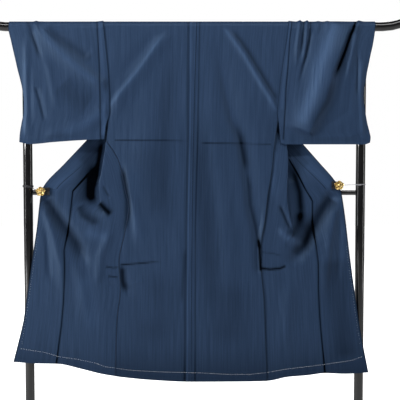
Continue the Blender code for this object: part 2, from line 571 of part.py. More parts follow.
def build_sleeve(side, layer, silk):
    """One layer of a sleeve: armhole edge to cuff edge, rod to sleeve bottom."""
    sign = SIDES[side]
    face = -1.0 if layer == "back" else 1.0
    rows = []
    for down in ROD_ROWS + SLEEVE_UPPER_ROWS + SLEEVE_LOW_ROWS:
        inner_out = read_line(SLEEVE_INNER[side], down, 1)
        cuff = CUFF[side] if layer == "back" else REAR_CUFF[side]
        cuff_out = read_line(cuff, down, 1)
        cuff_y = read_line(cuff, down, 2)
        column = 1 if layer == "back" else 2
        inner_y = read_line(SLEEVE_INNER[side], down, 2)
        if layer == "front":
            inner_y = read_line(SLEEVE_INNER_REAR_Y, down, 1)
        belly = read_line(SLEEVE_BELLY, down, column)
        shin = read_line(SLEEVE_SHIN, down, column)
        near_y = 0.7 * inner_y + 0.3 * belly
        table = ((0.0, inner_y), (0.10, near_y), (0.5, belly), (0.86, shin), (1.0, cuff_y))
        row = []
        for share in SLEEVE_SHARES:
            out = inner_out + (cuff_out - inner_out) * share
            x = sign * out
            y = read_line(table, share, 1)
            edge = min(1.0, share / 0.06) * min(1.0, (1.0 - share) / 0.05)
            fold = edge * fold_height(SLEEVE_FOLDS[side], x, down)
            if layer == "front":
                fold = max(0.0, fold) * max(0.0, 1.0 - down / 6.0)
            fold *= min(1.0, max(0.0, (SLEEVE_NOMINAL - down) / 4.0))
            lift = max(max(0.0, fold), LAYER_STEP * max(0.0, 1.0 - share / 0.08))
            if down < 2.5:
                y = face * (WRAP_CM + lift)
            else:
                y += face * fold
            held = lift * max(0.0, 1.0 - down / 2.5)
            deep = down - held
            y = wrap_y(deep, face, y, lift)
            stretch = read_line(SLEEVE_BOTTOM[side], share, 1) - SLEEVE_NOMINAL
            reach = SLEEVE_NOMINAL - SLEEVE_STRETCH_FROM
            deep += stretch * max(0.0, (down - SLEEVE_STRETCH_FROM) / reach) ** 1.5
            row.append(to_world(x, y, deep))
        rows.append(row)
    grid = np.array(rows)
    normals = grid_normals(grid, sign * -face)
    normals[0] = (0.0, 0.0, 1.0)
    add_wall("sleeve_" + side + "_" + layer, grid, normals, CLOTH, silk)


def add_tube(name, path, radius, sides, made_material):
    """A round bar along a path that lies in one upright plane across X."""
    bm = bmesh.new()
    rings = []
    count = len(path)
    for k, centre in enumerate(path):
        before = np.array(path[max(k - 1, 0)])
        after = np.array(path[min(k + 1, count - 1)])
        along = (after - before) / np.linalg.norm(after - before)
        across = np.array((0.0, 1.0, 0.0))
        up = np.cross(along, across)
        ring = []
        for step in range(sides):
            turn = 2.0 * math.pi * step / sides
            spoke = math.cos(turn) * across + math.sin(turn) * up
            ring.append(bm.verts.new(np.array(centre) + radius * spoke))
        rings.append(ring)
    for first, second in zip(rings, rings[1:]):
        for step in range(sides):
            follow = (step + 1) % sides
            bm.faces.new((first[step], first[follow], second[follow], second[step]))
    bm.faces.new(rings[0])
    bm.faces.new(rings[-1][::-1])
    made = link(name, bm, made_material)
    for polygon in made.data.polygons:
        polygon.use_smooth = len(polygon.vertices) == 4
    return made


def add_box(name, low, high, bevel, made_material):
    """A block between two corners with its upright and top edges softened."""
    bm = bmesh.new()
    bmesh.ops.create_cube(bm, size=1.0)
    for vert in bm.verts:
        for axis in range(3):
            vert.co[axis] = low[axis] if vert.co[axis] < 0.0 else high[axis]
    if bevel > 0.0:
        edges = [edge for edge in bm.edges if max(v.co.z for v in edge.verts) > low[2] + 1e-6]
        bmesh.ops.bevel(bm, geom=edges, offset=bevel, offset_type="OFFSET", segments=2, profile=0.5,
                        affect="EDGES", material=-1, clamp_overlap=True)
    return link(name, bm, made_material, smooth=False)


def build_stand(lacquer):
    """Top rod with lifted ends, two uprights, a crossbar and two plain feet."""
    bend = [(ROD_STRAIGHT, 0.0), (0.775, 0.0035), (0.810, 0.0125), (ROD_HALF_LENGTH, ROD_END_RISE)]
    path = [(-x, 0.0, ROD_Z + rise) for x, rise in reversed(bend)]
    path += [(x, 0.0, ROD_Z + rise) for x, rise in bend]
    add_tube("stand_top_rod", path, ROD_RADIUS, 28, lacquer)
    foot_top = FOOT_HEIGHT + SEAM_GAP
    upright_top = ROD_Z - ROD_RADIUS - SEAM_GAP
    for side, sign in SIDES.items():
        x = sign * UPRIGHT_X
        path = [(x, 0.0, foot_top), (x, 0.0, upright_top)]
        add_tube("stand_upright_" + side, path, UPRIGHT_RADIUS, 28, lacquer)
        low = (x - 0.5 * FOOT_WIDTH, -0.5 * FOOT_LENGTH, 0.0)
        high = (x + 0.5 * FOOT_WIDTH, 0.5 * FOOT_LENGTH, FOOT_HEIGHT)
        add_box("stand_foot_" + side, low, high, 0.012, lacquer)
    reach = UPRIGHT_X - UPRIGHT_RADIUS - SEAM_GAP
    bar_z = SHOULDER_Z - CROSSBAR_DROP
    add_tube("stand_crossbar", [(-reach, 0.0, bar_z), (reach, 0.0, bar_z)], CROSSBAR_RADIUS, 20, lacquer)


def build_clip(side, brass, black, cord_material):
    """A clip on the free edge: a jaw round the cloth, a blossom on it and a cord to the upright."""
    sign = SIDES[side]
    out, down, jaw_tip, cord_down, cord_radius = CLIPS[side]
    cloth_y = read_line(FREE_EDGE[side], down, 2) * CM
    jaw_foot = down + 0.5 * JAW_HEIGHT / CM
    edge_out = read_line(FREE_EDGE[side], jaw_foot, 1) * CM
    z = SHOULDER_Z - down * CM
    front_y = cloth_y - JAW_SLACK
    rear_y = cloth_y + CLOTH + JAW_SLACK
    spine = edge_out + 0.0020
    profile = (
        (jaw_tip * CM, front_y), (spine, front_y), (spine, rear_y), (jaw_tip * CM, rear_y),
        (jaw_tip * CM, rear_y + JAW_THICK), (spine + JAW_THICK, rear_y + JAW_THICK),
        (spine + JAW_THICK, front_y - JAW_THICK), (jaw_tip * CM, front_y - JAW_THICK),
    )
    bm = bmesh.new()
    low = [bm.verts.new((sign * px, py, z - 0.5 * JAW_HEIGHT)) for px, py in profile]
    high = [bm.verts.new((sign * px, py, z + 0.5 * JAW_HEIGHT)) for px, py in profile]
    for k in range(len(profile)):
        follow = (k + 1) % len(profile)
        bm.faces.new((low[k], low[follow], high[follow], high[k]))
    bm.faces.new(low)
    bm.faces.new(high[::-1])
    bm.normal_update()
    bmesh.ops.triangulate(bm, faces=bm.faces[:])
    link("clip_" + side + "_jaw", bm, black, smooth=False)

    bm = bmesh.new()
    seat = front_y - JAW_THICK - SEAM_GAP
    rings = []
    steps = FLOWER_PETALS * PETAL_STEPS
    for share, height in FLOWER_RINGS:
        ring = []
        for step in range(steps):
            turn = 2.0 * math.pi * step / steps
            notch = FLOWER_NOTCH * (1.0 - abs(math.cos(0.5 * FLOWER_PETALS * turn)))
            lobe = 1.0 - notch * (share > 0.5)
            radius = FLOWER_RADIUS * share * lobe
            x = sign * out * CM + radius * math.cos(turn)
            ring.append(bm.verts.new((x, seat - FLOWER_HEIGHT * height, z + radius * math.sin(turn))))
        rings.append(ring)
    for first, second in zip(rings, rings[1:]):
        for step in range(steps):
            follow = (step + 1) % steps
            bm.faces.new((first[step], first[follow], second[follow], second[step]))
    bm.faces.new(rings[0])
    bm.faces.new(rings[-1][::-1])
    link("clip_" + side + "_blossom", bm, brass)

    curve = bpy.data.curves.new("clip_" + side + "_cord", "CURVE")
    curve.dimensions = "3D"
    curve.bevel_depth = cord_radius
    curve.bevel_resolution = 2
    curve.use_fill_caps = True
    cord_z = SHOULDER_Z - cord_down * CM
    cord_y = 0.5 * (front_y + rear_y)
    cord_out = spine + JAW_THICK + SEAM_GAP
    points = [(sign * cord_out, cord_y, z), (sign * (cord_out + CORD_LEAD), cord_y, z)]
    ring_radius = (UPRIGHT_RADIUS + cord_radius + SEAM_GAP) / math.cos(math.pi / CORD_LOOP_POINTS)
    pitch = 2.0 * cord_radius + CORD_SPACING
    first_turn = -0.5 * math.pi
    for step in range(CORD_LOOPS[side] * CORD_LOOP_POINTS + 1):
        turn = first_turn + 2.0 * math.pi * step / CORD_LOOP_POINTS
        height = cord_z - pitch * step / CORD_LOOP_POINTS
        cord_out = UPRIGHT_X + ring_radius * math.cos(turn)
        points.append((sign * cord_out, ring_radius * math.sin(turn), height))
    spline = curve.splines.new("POLY")
    spline.points.add(len(points) - 1)
    for point, place in zip(spline.points, points):
        point.co = (*place, 1.0)
    curve.materials.append(cord_material)
    made = bpy.data.objects.new("clip_" + side + "_cord", curve)
    bpy.context.scene.collection.objects.link(made)


def remove_everything():
    for old in list(bpy.data.objects):
        bpy.data.objects.remove(old, do_unlink=True)


remove_everything()
navy_silk = material("navy_silk", (0.030, 0.060, 0.120), 0.55, 0.0)
black_lacquer = material("black_lacquer", (0.006, 0.006, 0.007), 0.12, 0.0)
gilt_brass = material("gilt_brass", (0.62, 0.42, 0.14), 0.32, 1.0)
black_clip = material("black_clip", (0.010, 0.010, 0.011), 0.40, 0.0)
black_cord = material("black_cord", (0.015, 0.015, 0.016), 0.70, 0.0)
grey_cord = material("grey_cord", (0.30, 0.30, 0.31), 0.70, 0.0)
build_back(navy_silk)
for each_side in SIDES:
    build_front(each_side, navy_silk)
    build_sleeve(each_side, "back", navy_silk)
    build_sleeve(each_side, "front", navy_silk)
build_stand(black_lacquer)
build_clip("left", gilt_brass, black_clip, black_cord)
build_clip("right", gilt_brass, black_clip, grey_cord)
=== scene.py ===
# %% [markdown]
# # A silk kimono on its stand
# The kimono hangs by its sleeves over a round lacquered rod, and we look at its back.
# Its solids come from the frame. This script makes the cloth that dresses them: one thin
# shell for each sewn panel, with its folds, seams and stitches, and then the lacquer and brass.

# %% Open the frame
import json
import math
import random

import bmesh
import bpy
import numpy as np
from mathutils import Matrix, Vector
from mathutils.bvhtree import BVHTree

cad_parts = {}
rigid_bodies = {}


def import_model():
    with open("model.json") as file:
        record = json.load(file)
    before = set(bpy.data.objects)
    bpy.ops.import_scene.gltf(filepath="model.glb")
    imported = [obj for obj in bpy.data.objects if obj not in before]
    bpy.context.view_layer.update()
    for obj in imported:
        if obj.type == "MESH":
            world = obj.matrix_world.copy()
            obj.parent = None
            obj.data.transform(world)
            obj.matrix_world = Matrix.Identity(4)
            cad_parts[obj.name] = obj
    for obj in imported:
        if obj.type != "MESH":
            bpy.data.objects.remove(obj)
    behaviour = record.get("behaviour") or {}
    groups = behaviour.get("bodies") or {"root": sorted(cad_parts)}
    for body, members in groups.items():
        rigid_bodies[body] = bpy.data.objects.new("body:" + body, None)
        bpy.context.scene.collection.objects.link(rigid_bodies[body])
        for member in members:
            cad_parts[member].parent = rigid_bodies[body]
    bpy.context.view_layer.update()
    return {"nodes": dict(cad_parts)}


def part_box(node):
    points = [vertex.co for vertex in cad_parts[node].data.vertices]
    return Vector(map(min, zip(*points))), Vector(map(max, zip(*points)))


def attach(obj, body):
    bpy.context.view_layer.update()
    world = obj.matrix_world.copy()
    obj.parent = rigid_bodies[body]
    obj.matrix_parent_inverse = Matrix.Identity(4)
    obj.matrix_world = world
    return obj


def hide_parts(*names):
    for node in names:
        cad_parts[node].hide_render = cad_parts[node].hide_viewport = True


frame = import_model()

CM = 0.01
SHOULDER_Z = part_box("back_left_upper")[1][2]
print("solids:", len(frame["nodes"]), "shoulder line at", round(SHOULDER_Z, 4), "m")

# %% [markdown]
# ## The camera
# The photograph was taken with a long lens a few metres away, a little above the middle of the
# garment and tilted slightly down. A long lens keeps the hem and the shoulders in proportion.

# %% Camera
AIM = Vector((0.0229, -0.025, 0.9391))
DISTANCE = 4.60
TILT = math.radians(4.0)

camera_data = bpy.data.cameras.new("photo_camera")
camera_data.lens = 105.0
camera_data.sensor_width = 36.0
camera = bpy.data.objects.new("photo_camera", camera_data)
camera.location = AIM + DISTANCE * Vector((0.0, -math.cos(TILT), math.sin(TILT)))
camera.rotation_euler = (math.pi / 2 - TILT, 0.0, 0.0)
bpy.context.scene.collection.objects.link(camera)
bpy.context.scene.camera = camera
print("camera", [round(value, 3) for value in camera.location])

# %% [markdown]
# ## Floor and light
# A pale floor and a white surround give the plain studio look. The camera sees a pure white
# background, while the surround that lights the silk is dimmer, so that the folds keep their
# shade. One large soft light from the upper left draws the folds, a weaker one from the right
# opens the shadows, and tall strips beside the camera put long highlights on the lacquer.
# The plain "Standard" view keeps white paper white.

# %% Floor and lights
def matte(name, colour, roughness):
    made = bpy.data.materials.new(name)
    made.use_nodes = True
    shader = made.node_tree.nodes["Principled BSDF"]
    shader.inputs["Base Color"].default_value = (*colour, 1.0)
    shader.inputs["Roughness"].default_value = roughness
    return made


FLOOR_HALF = 9.0
FLOOR_GLOW = 0.95
SURROUND_LIGHT = 0.13
bm = bmesh.new()
bmesh.ops.create_grid(bm, x_segments=2, y_segments=2, size=FLOOR_HALF)
floor_mesh = bpy.data.meshes.new("floor")
bm.to_mesh(floor_mesh)
bm.free()
pale = matte("pale_floor", (0.92, 0.92, 0.92), 0.9)
glow = pale.node_tree.nodes["Principled BSDF"]
glow.inputs["Emission Color"].default_value = (1.0, 1.0, 1.0, 1.0)
floor_ray = pale.node_tree.nodes.new("ShaderNodeLightPath")
lift = pale.node_tree.nodes.new("ShaderNodeMath")
lift.operation = "MULTIPLY"
lift.inputs[1].default_value = FLOOR_GLOW
pale.node_tree.links.new(floor_ray.outputs["Is Camera Ray"], lift.inputs[0])
pale.node_tree.links.new(lift.outputs["Value"], glow.inputs["Emission Strength"])
floor_mesh.materials.append(pale)
floor = bpy.data.objects.new("floor", floor_mesh)
bpy.context.scene.collection.objects.link(floor)

world = bpy.data.worlds.new("studio")
bpy.context.scene.world = world
world.use_nodes = True
background = world.node_tree.nodes["Background"]
background.inputs["Color"].default_value = (1.0, 1.0, 1.0, 1.0)
background.inputs["Strength"].default_value = SURROUND_LIGHT
paper = world.node_tree.nodes.new("ShaderNodeBackground")
paper.inputs["Strength"].default_value = 1.0
seen_ray = world.node_tree.nodes.new("ShaderNodeLightPath")
choose = world.node_tree.nodes.new("ShaderNodeMixShader")
sky = world.node_tree.nodes["World Output"]
paper.inputs["Color"].default_value = (1.0, 1.0, 1.0, 1.0)
world.node_tree.links.new(seen_ray.outputs["Is Camera Ray"], choose.inputs["Fac"])
world.node_tree.links.new(background.outputs["Background"], choose.inputs[1])
world.node_tree.links.new(paper.outputs["Background"], choose.inputs[2])
world.node_tree.links.new(choose.outputs["Shader"], sky.inputs["Surface"])
bpy.context.scene.view_settings.view_transform = "Standard"


def soft_light(name, place, aim, size, power):
    data = bpy.data.lights.new(name, "AREA")
    data.shape = "RECTANGLE"
    data.size, data.size_y = size
    data.energy = power
    made = bpy.data.objects.new(name, data)
    made.location = place
    made.rotation_euler = (Vector(aim) - Vector(place)).to_track_quat("-Z", "Y").to_euler()
    bpy.context.scene.collection.objects.link(made)
    return made


soft_light("key_left", (-5.2, -2.9, 1.9), (0.0, 0.0, 1.1), (1.3, 1.8), 312.0)
soft_light("fill_right", (3.6, -4.2, 2.4), (0.0, 0.0, 0.9), (1.6, 2.0), 24.0)
soft_light("strip_left", (-4.2, -1.5, 1.0), (0.0, 0.0, 0.95), (0.16, 2.8), 30.0)
soft_light("strip_right", (4.4, -0.9, 1.0), (0.0, 0.0, 0.95), (0.16, 2.8), 26.0)
soft_light("strip_top", (0.0, -1.6, 3.4), (0.0, 0.0, 1.62), (5.0, 0.24), 70.0)
soft_light("rear_soft", (0.4, 5.0, 2.4), (0.0, 0.0, 1.0), (2.6, 2.0), 150.0)

# %% [markdown]
# ## How a hung panel is laid out
# A kimono is made of straight lengths of cloth. Each panel starts here as a flat grid, and every
# vertex is then carried to its place on the hung garment. Where it goes is read from a few
# garment lines, such as the side seam or the hem. They are in centimetres: "down" below the
# shoulder line, "out" from the centre to one side, and "y" behind the rod's axis.

# %% Sizes of the cloth and the rod
ROD_RADIUS = 0.0178
WRAP = 2.03
LINING = 0.0009
LAP = 0.30
TOP_STEP_DEGREES = 9.0
ROW_STEP = 0.55
HEM_BLEND_FROM = 118.0
HEM_NOMINAL = 142.0
COLLAR_END = 66.2
KENSAKI_DOWN = 32.0
ARMPIT_DOWN = 42.0
SIDES = {"left": -1.0, "right": 1.0}

top_rows = [WRAP * (1.0 - math.cos(math.radians(TOP_STEP_DEGREES * k))) for k in range(11)]
print("rows round the rod:", len(top_rows))

# %% Garment lines, centimetres
# Centre back seam: down, x.
CENTRE = ((0, 0.9), (40, -0.2), (80, -0.9), (142, -1.3))
# Hem depth along the hem: x, down.
HEM = ((-71, 134.4), (-64, 134.9), (-54, 135.1), (-45, 137.0), (-37, 139.0), (-30, 140.2),
       (-15, 141.6), (-1, 142.2), (20, 142.1), (29, 141.9), (37, 140.3), (45, 139.6),
       (52, 138.8), (60, 139.1), (69, 138.6))

# Side line of the back: armhole seam to 44 down, side seam below. down, out, y.
BACK_SIDE = {
    "left": ((0, 35.9, -2.06), (2.5, 35.6, -2.06), (10, 34.8, -2.2), (20, 33.9, -2.5), (32, 33.4, -2.5),
             (40, 33.8, -2.3), (46, 34.4, -2.2), (50, 32.0, -2.6), (55, 29.4, -3.0), (66, 26.9, -3.6),
             (73, 25.6, -3.8), (82, 27.0, -3.9), (95, 29.5, -4.0), (105, 29.0, -4.1), (118, 30.4, -4.2),
             (142, 31.2, -4.4)),
    "right": ((0, 37.3, -2.06), (2.5, 37.0, -2.06), (8, 36.3, -2.2), (14, 35.3, -2.3), (20, 34.5, -2.5),
              (28, 33.6, -2.5), (36, 33.0, -2.4), (42, 32.2, -2.2), (48, 31.4, -2.4), (58, 30.4, -3.1),
              (68, 28.8, -3.6), (78, 27.6, -3.8), (88, 26.2, -4.0), (97, 26.3, -4.0), (110, 27.4, -4.2),
              (142, 28.6, -4.4)),
}
# Centre line of the back: down, y.
BACK_MID = ((2.5, -2.06), (20, -2.4), (45, -3.0), (66, -3.7), (90, -4.1), (142, -4.6))

# Lines of the front panel, from the side seam round to the free edge. down, out, y.
FRONT_SEAM_Y = ((2.5, 2.06), (20, 1.8), (32, 1.0), (38, -0.1), (42, -1.3), (46, -1.95))
ARMPIT_FOLD = {
    "left": ((0, 32.6, 2.06), (2.5, 32.4, 2.06), (20, 30.8, 2.05), (32, 30.0, 1.6), (38, 31.2, 0.9),
             (42, 33.9, -0.4), (46, 35.0, -1.4), (50, 35.4, -2.4), (55, 36.2, -3.1), (60, 37.0, -3.6),
             (63.5, 37.8, -3.8), (68, 37.5, -3.9), (72, 37.0, -3.9), (76, 34.5, -3.9), (80, 33.2, -3.9),
             (95, 34.8, -4.0), (142, 36.5, -4.4)),
    "right": ((0, 34.0, 2.06), (2.5, 33.8, 2.06), (20, 31.4, 2.05), (32, 30.0, 1.6), (38, 30.4, 0.9),
              (42, 32.2, -0.25), (46, 35.2, -1.4), (49, 36.9, -2.2), (54, 37.3, -3.0), (60, 37.2, -3.5),
              (66, 36.9, -3.8), (72, 37.2, -3.9), (78, 38.4, -3.9), (82, 39.2, -3.9), (86, 37.0, -3.9),
              (90, 33.0, -3.9), (142, 34.0, -4.4)),
}
ROLL_LINE = {
    "left": ((0, 11, 2.06), (2.5, 9.9, 2.06), (5, 7.6, 2.2), (8, 4.6, 2.3), (11, 3.6, 2.4),
             (15, 4.4, 2.5), (20, 6.6, 2.6), (30, 11.5, 2.6), (45, 15.5, 2.2), (52, 21, 1.6), (60, 29.5, 0.1),
             (64, 32.2, -1.75), (68, 34.4, -1.9), (72, 35.1, -2.25), (76, 36.6, -3.5), (80, 37.4, -3.8),
             (95, 39, -4.0), (142, 41.5, -4.4)),
    "right": ((0, 11, 2.06), (2.5, 10.1, 2.06), (5, 8.1, 2.2), (8, 5.6, 2.3), (11, 4.6, 2.4),
              (15, 5.2, 2.5), (20, 7.4, 2.6), (30, 12, 2.6), (45, 16.5, 2.2), (52, 22.5, 1.6), (60, 29.5, 0.1),
              (64, 32.0, -1.75), (68, 33.2, -1.9), (74, 35.2, -2.1), (80, 37.6, -2.5), (86, 39.8, -3.6),
              (90, 37.6, -3.8), (142, 39.5, -4.4)),
}
POCKET_BACK = {
    "left": ((0, 10.4, 2.06), (2.5, 9.4, 2.06), (5, 7.1, 2.4), (8, 4.5, 2.8), (11, 3.8, 3.1),
             (15, 4.8, 3.3), (20, 7.6, 3.5), (30, 14.0, 3.8), (45, 21, 3.6), (52, 26.5, 2.8), (60, 33.6, 0.9),
             (64, 36.4, -1.55), (68, 38.0, -1.60), (72, 38.3, -2.0), (76, 38.2, -3.3), (80, 39.6, -3.8),
             (95, 42, -4.0), (142, 45.5, -4.4)),
    "right": ((0, 10.5, 2.06), (2.5, 9.6, 2.06), (5, 7.7, 2.4), (8, 5.5, 2.8), (11, 4.8, 3.1),
              (15, 5.6, 3.3), (20, 8.4, 3.5), (30, 14.5, 3.8), (45, 22, 3.6), (52, 28.0, 2.8), (60, 34.0, 0.9),
              (64, 36.4, -1.55), (68, 38.0, -1.60), (74, 39.2, -1.8), (80, 40.3, -2.2), (86, 41.0, -3.4),
              (90, 40.6, -3.8), (142, 43, -4.4)),
}
LIP = {
    "left": ((0, 9.8, 2.06), (2.5, 9.0, 2.06), (5, 6.7, 2.45), (8, 4.6, 3.1), (11, 4.3, 3.45),
             (15, 5.6, 3.6), (20, 9.0, 3.8), (30, 17.6, 3.8), (45, 29.8, 2.8), (50, 35.2, 1.6), (55, 38.8, 0.4),
             (60, 41.0, -0.8), (64, 42.0, -1.75), (68, 41.6, -1.9), (72, 40.2, -2.2), (76, 40.0, -3.1),
             (80, 42.4, -3.7), (95, 45.6, -3.9), (142, 49, -4.3)),
    "right": ((0, 9.9, 2.06), (2.5, 9.1, 2.06), (5, 7.3, 2.45), (8, 5.5, 3.1), (11, 5.2, 3.45),
              (15, 6.4, 3.6), (20, 9.8, 3.8), (30, 17.6, 3.8), (45, 29.8, 2.8), (50, 34.9, 1.6), (55, 37.9, 0.4),
              (60, 39.9, -0.8), (64, 41.5, -1.75), (70, 43.2, -1.9), (76, 43.6, -2.0), (82, 42.9, -2.5),
              (86, 42.4, -3.2), (90, 43.6, -3.7), (142, 46.6, -4.3)),
}
FREE_EDGE = {
    "left": ((0, 0.02, 2.06), (1.2, 0.02, 2.06), (2.5, 0.9, 2.06), (5, 4.1, 3.0), (6.5, 5.5, 3.9),
             (9, 7.8, 4.1), (14, 12.5, 3.9), (20, 18.1, 3.7), (36, 32.9, 2.9), (46.6, 42.7, 1.4),
             (56, 51.5, -0.4), (64, 59.0, -1.85), (66.5, 60.2, -2.0), (70, 60.9, -2.2), (80, 62.0, -2.7),
             (90, 63.5, -3.1), (100, 65.0, -3.4), (120, 68.0, -3.7), (142, 71.8, -3.9)),
    "right": ((0, 0.02, 2.06), (1.2, 0.02, 2.06), (2.5, 1.1, 2.06), (5, 5.0, 3.0), (6.5, 6.4, 3.9),
              (9, 8.6, 4.1), (14, 13.1, 3.9), (20, 18.4, 3.7), (36, 32.4, 2.9), (48.3, 43.3, 1.1),
              (56, 50.0, -0.6), (61.5, 54.8, -1.6), (66.5, 57.9, -2.0), (70, 58.6, -2.2), (80, 60.0, -2.7),
              (90, 61.2, -3.1), (100, 62.6, -3.4), (120, 65.5, -3.7), (142, 69.2, -3.9)),
}
# How far the armpit fold is shut: 1 is a pocket, 0 is flat cloth. down, share.
FOLD_SHUT = {
    "left": ((42, 0.0), (46, 0.7), (50, 1.0), (70, 1.0), (74, 0.3), (76, 0.0)),
    "right": ((42, 0.0), (46, 0.7), (50, 1.0), (78, 1.0), (84, 0.3), (86, 0.0)),
}
# Okumi seam: down, out.
OKUMI_SEAM = {
    "left": ((30, 18.6), (45, 31.0), (50, 36.3), (55, 39.8), (60, 42.0), (62, 43.2), (66.5, 47.9),
             (70, 48.3), (79, 49.4), (90, 51.3), (97, 51.1), (110, 51.7), (120, 52.6), (142, 54.8)),
    "right": ((30, 18.6), (45, 30.9), (50, 36.0), (55, 38.9), (60, 40.9), (65.5, 43.6), (70.5, 46.7),
              (79, 46.7), (87, 48.0), (95, 49.0), (105, 49.1), (120, 50.0), (142, 52.0)),
}
# How far the collar seam lies towards the centre from the free edge: down, run.
COLLAR_RUN = ((0, -9.2), (2.5, -7.6), (5, -2.1), (8, 2.1), (11, 4.7), (15, 6.9), (20, 7.8), (50, 7.9),
              (58, 7.4), (65.6, 5.6))

# Sleeve cuff edge of the layer that faces the camera: down, out, y.
CUFF = {
    "left": ((0, 72.4, -2.06), (2.5, 72.6, -2.06), (7.5, 71.6, -2.3), (15, 69.9, -2.7), (19, 69.0, -2.9),
             (23, 68.0, -2.9), (26, 67.4, -2.72), (31, 66.9, -2.70), (36, 67.0, -2.70), (40, 67.7, -2.70),
             (45, 68.5, -2.70), (48, 68.7, -2.70)),
    "right": ((0, 70.9, -2.06), (2.5, 70.8, -2.06), (9, 69.9, -2.3), (13, 69.0, -2.6), (17, 68.2, -2.8),
              (20, 67.6, -2.9), (23, 67.2, -2.9), (26, 66.6, -2.72), (30, 66.4, -2.70), (34, 66.9, -2.70),
              (40, 67.9, -2.70), (44, 68.9, -2.70), (46, 69.3, -2.70), (48, 69.1, -2.70)),
}
# Outer edge of the layer behind: it passes inside the upright, then comes round in front of it.
REAR_CUFF = {
    "left": ((0, 72.4, 2.06), (1.2, 72.0, 2.06), (2.5, 71.0, 2.06), (3.6, 68.6, 2.2), (5, 64.6, 2.3),
             (6.5, 63.3, 2.2), (12, 62.8, 1.4), (17, 62.8, 0.2), (21, 63.2, -1.6), (23.4, 64.6, -2.22),
             (26, 67.3, -2.24), (31, 66.8, -2.24), (36, 66.9, -2.24), (40, 67.6, -2.24), (48, 68.6, -2.24)),
    "right": ((0, 70.9, 2.06), (1.2, 70.7, 2.06), (2.5, 70.0, 2.06), (3.6, 68.0, 2.2), (5, 64.4, 2.3),
              (6.5, 63.3, 2.2), (12, 62.8, 1.4), (17, 62.8, 0.2), (21, 63.2, -1.6), (23.4, 64.4, -2.22),
              (26, 66.5, -2.24), (30, 66.3, -2.24), (34, 66.8, -2.24), (40, 67.8, -2.24), (46, 69.2, -2.24),
              (48, 69.0, -2.24)),
}
# Inner edge of the sleeve: the armhole seam to 38 down, free and closed below. down, out, y.
SLEEVE_INNER = {
    "left": ((0, 35.6, -2.42), (2.5, 35.3, -2.42), (10, 34.5, -2.52), (20, 33.6, -2.80), (32, 33.1, -2.80),
             (36, 33.1, -2.78), (38, 33.4, -2.70), (40, 34.0, -2.72), (42, 34.5, -2.75), (46, 35.0, -2.75),
             (48, 35.2, -2.75)),
    "right": ((0, 37.0, -2.42), (2.5, 36.7, -2.42), (8, 36.0, -2.52), (14, 35.0, -2.60), (20, 34.2, -2.80),
              (28, 33.3, -2.80), (36, 32.7, -2.72), (42, 33.3, -2.75), (48, 33.8, -2.75)),
}
SLEEVE_INNER_REAR_Y = ((2.5, 2.42), (20, 2.22), (32, 1.54), (38, 0.85), (40, 0.15), (42, -1.2),
                       (45, -2.15), (48, -2.28))
# Depth of the sleeve bag: down, front y, rear y at mid sleeve.
SLEEVE_BELLY = ((2.5, -2.06, 2.06), (10, -2.9, 1.9), (20, -3.5, 1.2), (32, -3.7, 0.0), (40, -3.6, -1.0),
                (48, -2.75, -2.28))
SLEEVE_SHIN = ((2.5, -2.06, 2.06), (10, -2.8, 1.9), (17, -3.3, 0.9), (23, -3.5, -0.9), (28, -3.5, -1.9),
               (40, -3.4, -2.2), (48, -2.75, -2.28))
# Bottom of the sleeves, from the armhole side to the cuff: share of width, down.
SLEEVE_BOTTOM = {
    "left": ((0.0, 46.0), (0.3, 46.5), (0.6, 47.2), (0.88, 48.0), (1.0, 47.2)),
    "right": ((0.0, 47.4), (0.06, 48.1), (0.5, 48.1), (0.94, 48.1), (1.0, 47.4)),
}

# %% [markdown]
# ## Reading a line
# A garment line is a short table. Between its rows the value runs on a smooth curve that never
# swings past them, so a panel stays between the lines that were measured for it.

# %% Read a line and blend a section
def read_line(table, at, column=1):
    """Values of one column of a table at many depths at once."""
    keys = np.array([row[0] for row in table], float)
    values = np.array([row[column] for row in table], float)
    steps = np.diff(values) / np.diff(keys)
    slopes = np.zeros(len(keys))
    slopes[0], slopes[-1] = steps[0], steps[-1]
    product = steps[:-1] * steps[1:]
    total = steps[:-1] + steps[1:]
    slopes[1:-1] = np.where(product > 0.0, 2.0 * product / np.where(product > 0.0, total, 1.0), 0.0)
    at = np.clip(np.asarray(at, float), keys[0], keys[-1])
    spot = np.clip(np.searchsorted(keys, at, side="right") - 1, 0, len(keys) - 2)
    span = keys[spot + 1] - keys[spot]
    share = (at - keys[spot]) / span
    rise = values[spot + 1] - values[spot]
    start, end = slopes[spot] * span, slopes[spot + 1] * span
    cubic = start + end - 2.0 * rise
    square = 3.0 * rise - 2.0 * start - end
    return values[spot] + share * (start + share * (square + share * cubic))


def ramp(value, low, high):
    """0 below low, 1 above high, and eased between them."""
    share = np.clip((np.asarray(value, float) - low) / (high - low), 0.0, 1.0)
    return share * share * (3.0 - 2.0 * share)


def wrap_y(down, face, value, lift=0.0):
    """Keep the cloth round the rod near the shoulder line; below it the table's y is used."""
    radius = WRAP + lift
    depth = np.clip(down + lift, 0.0, None)
    around = face * np.sqrt(np.clip(radius ** 2 - (radius - depth) ** 2, 0.0, None))
    blend = np.clip((down - 1.6) / (radius - 1.6), 0.0, 1.0)
    return np.where(down >= radius, value, around * (1.0 - blend) + value * blend)


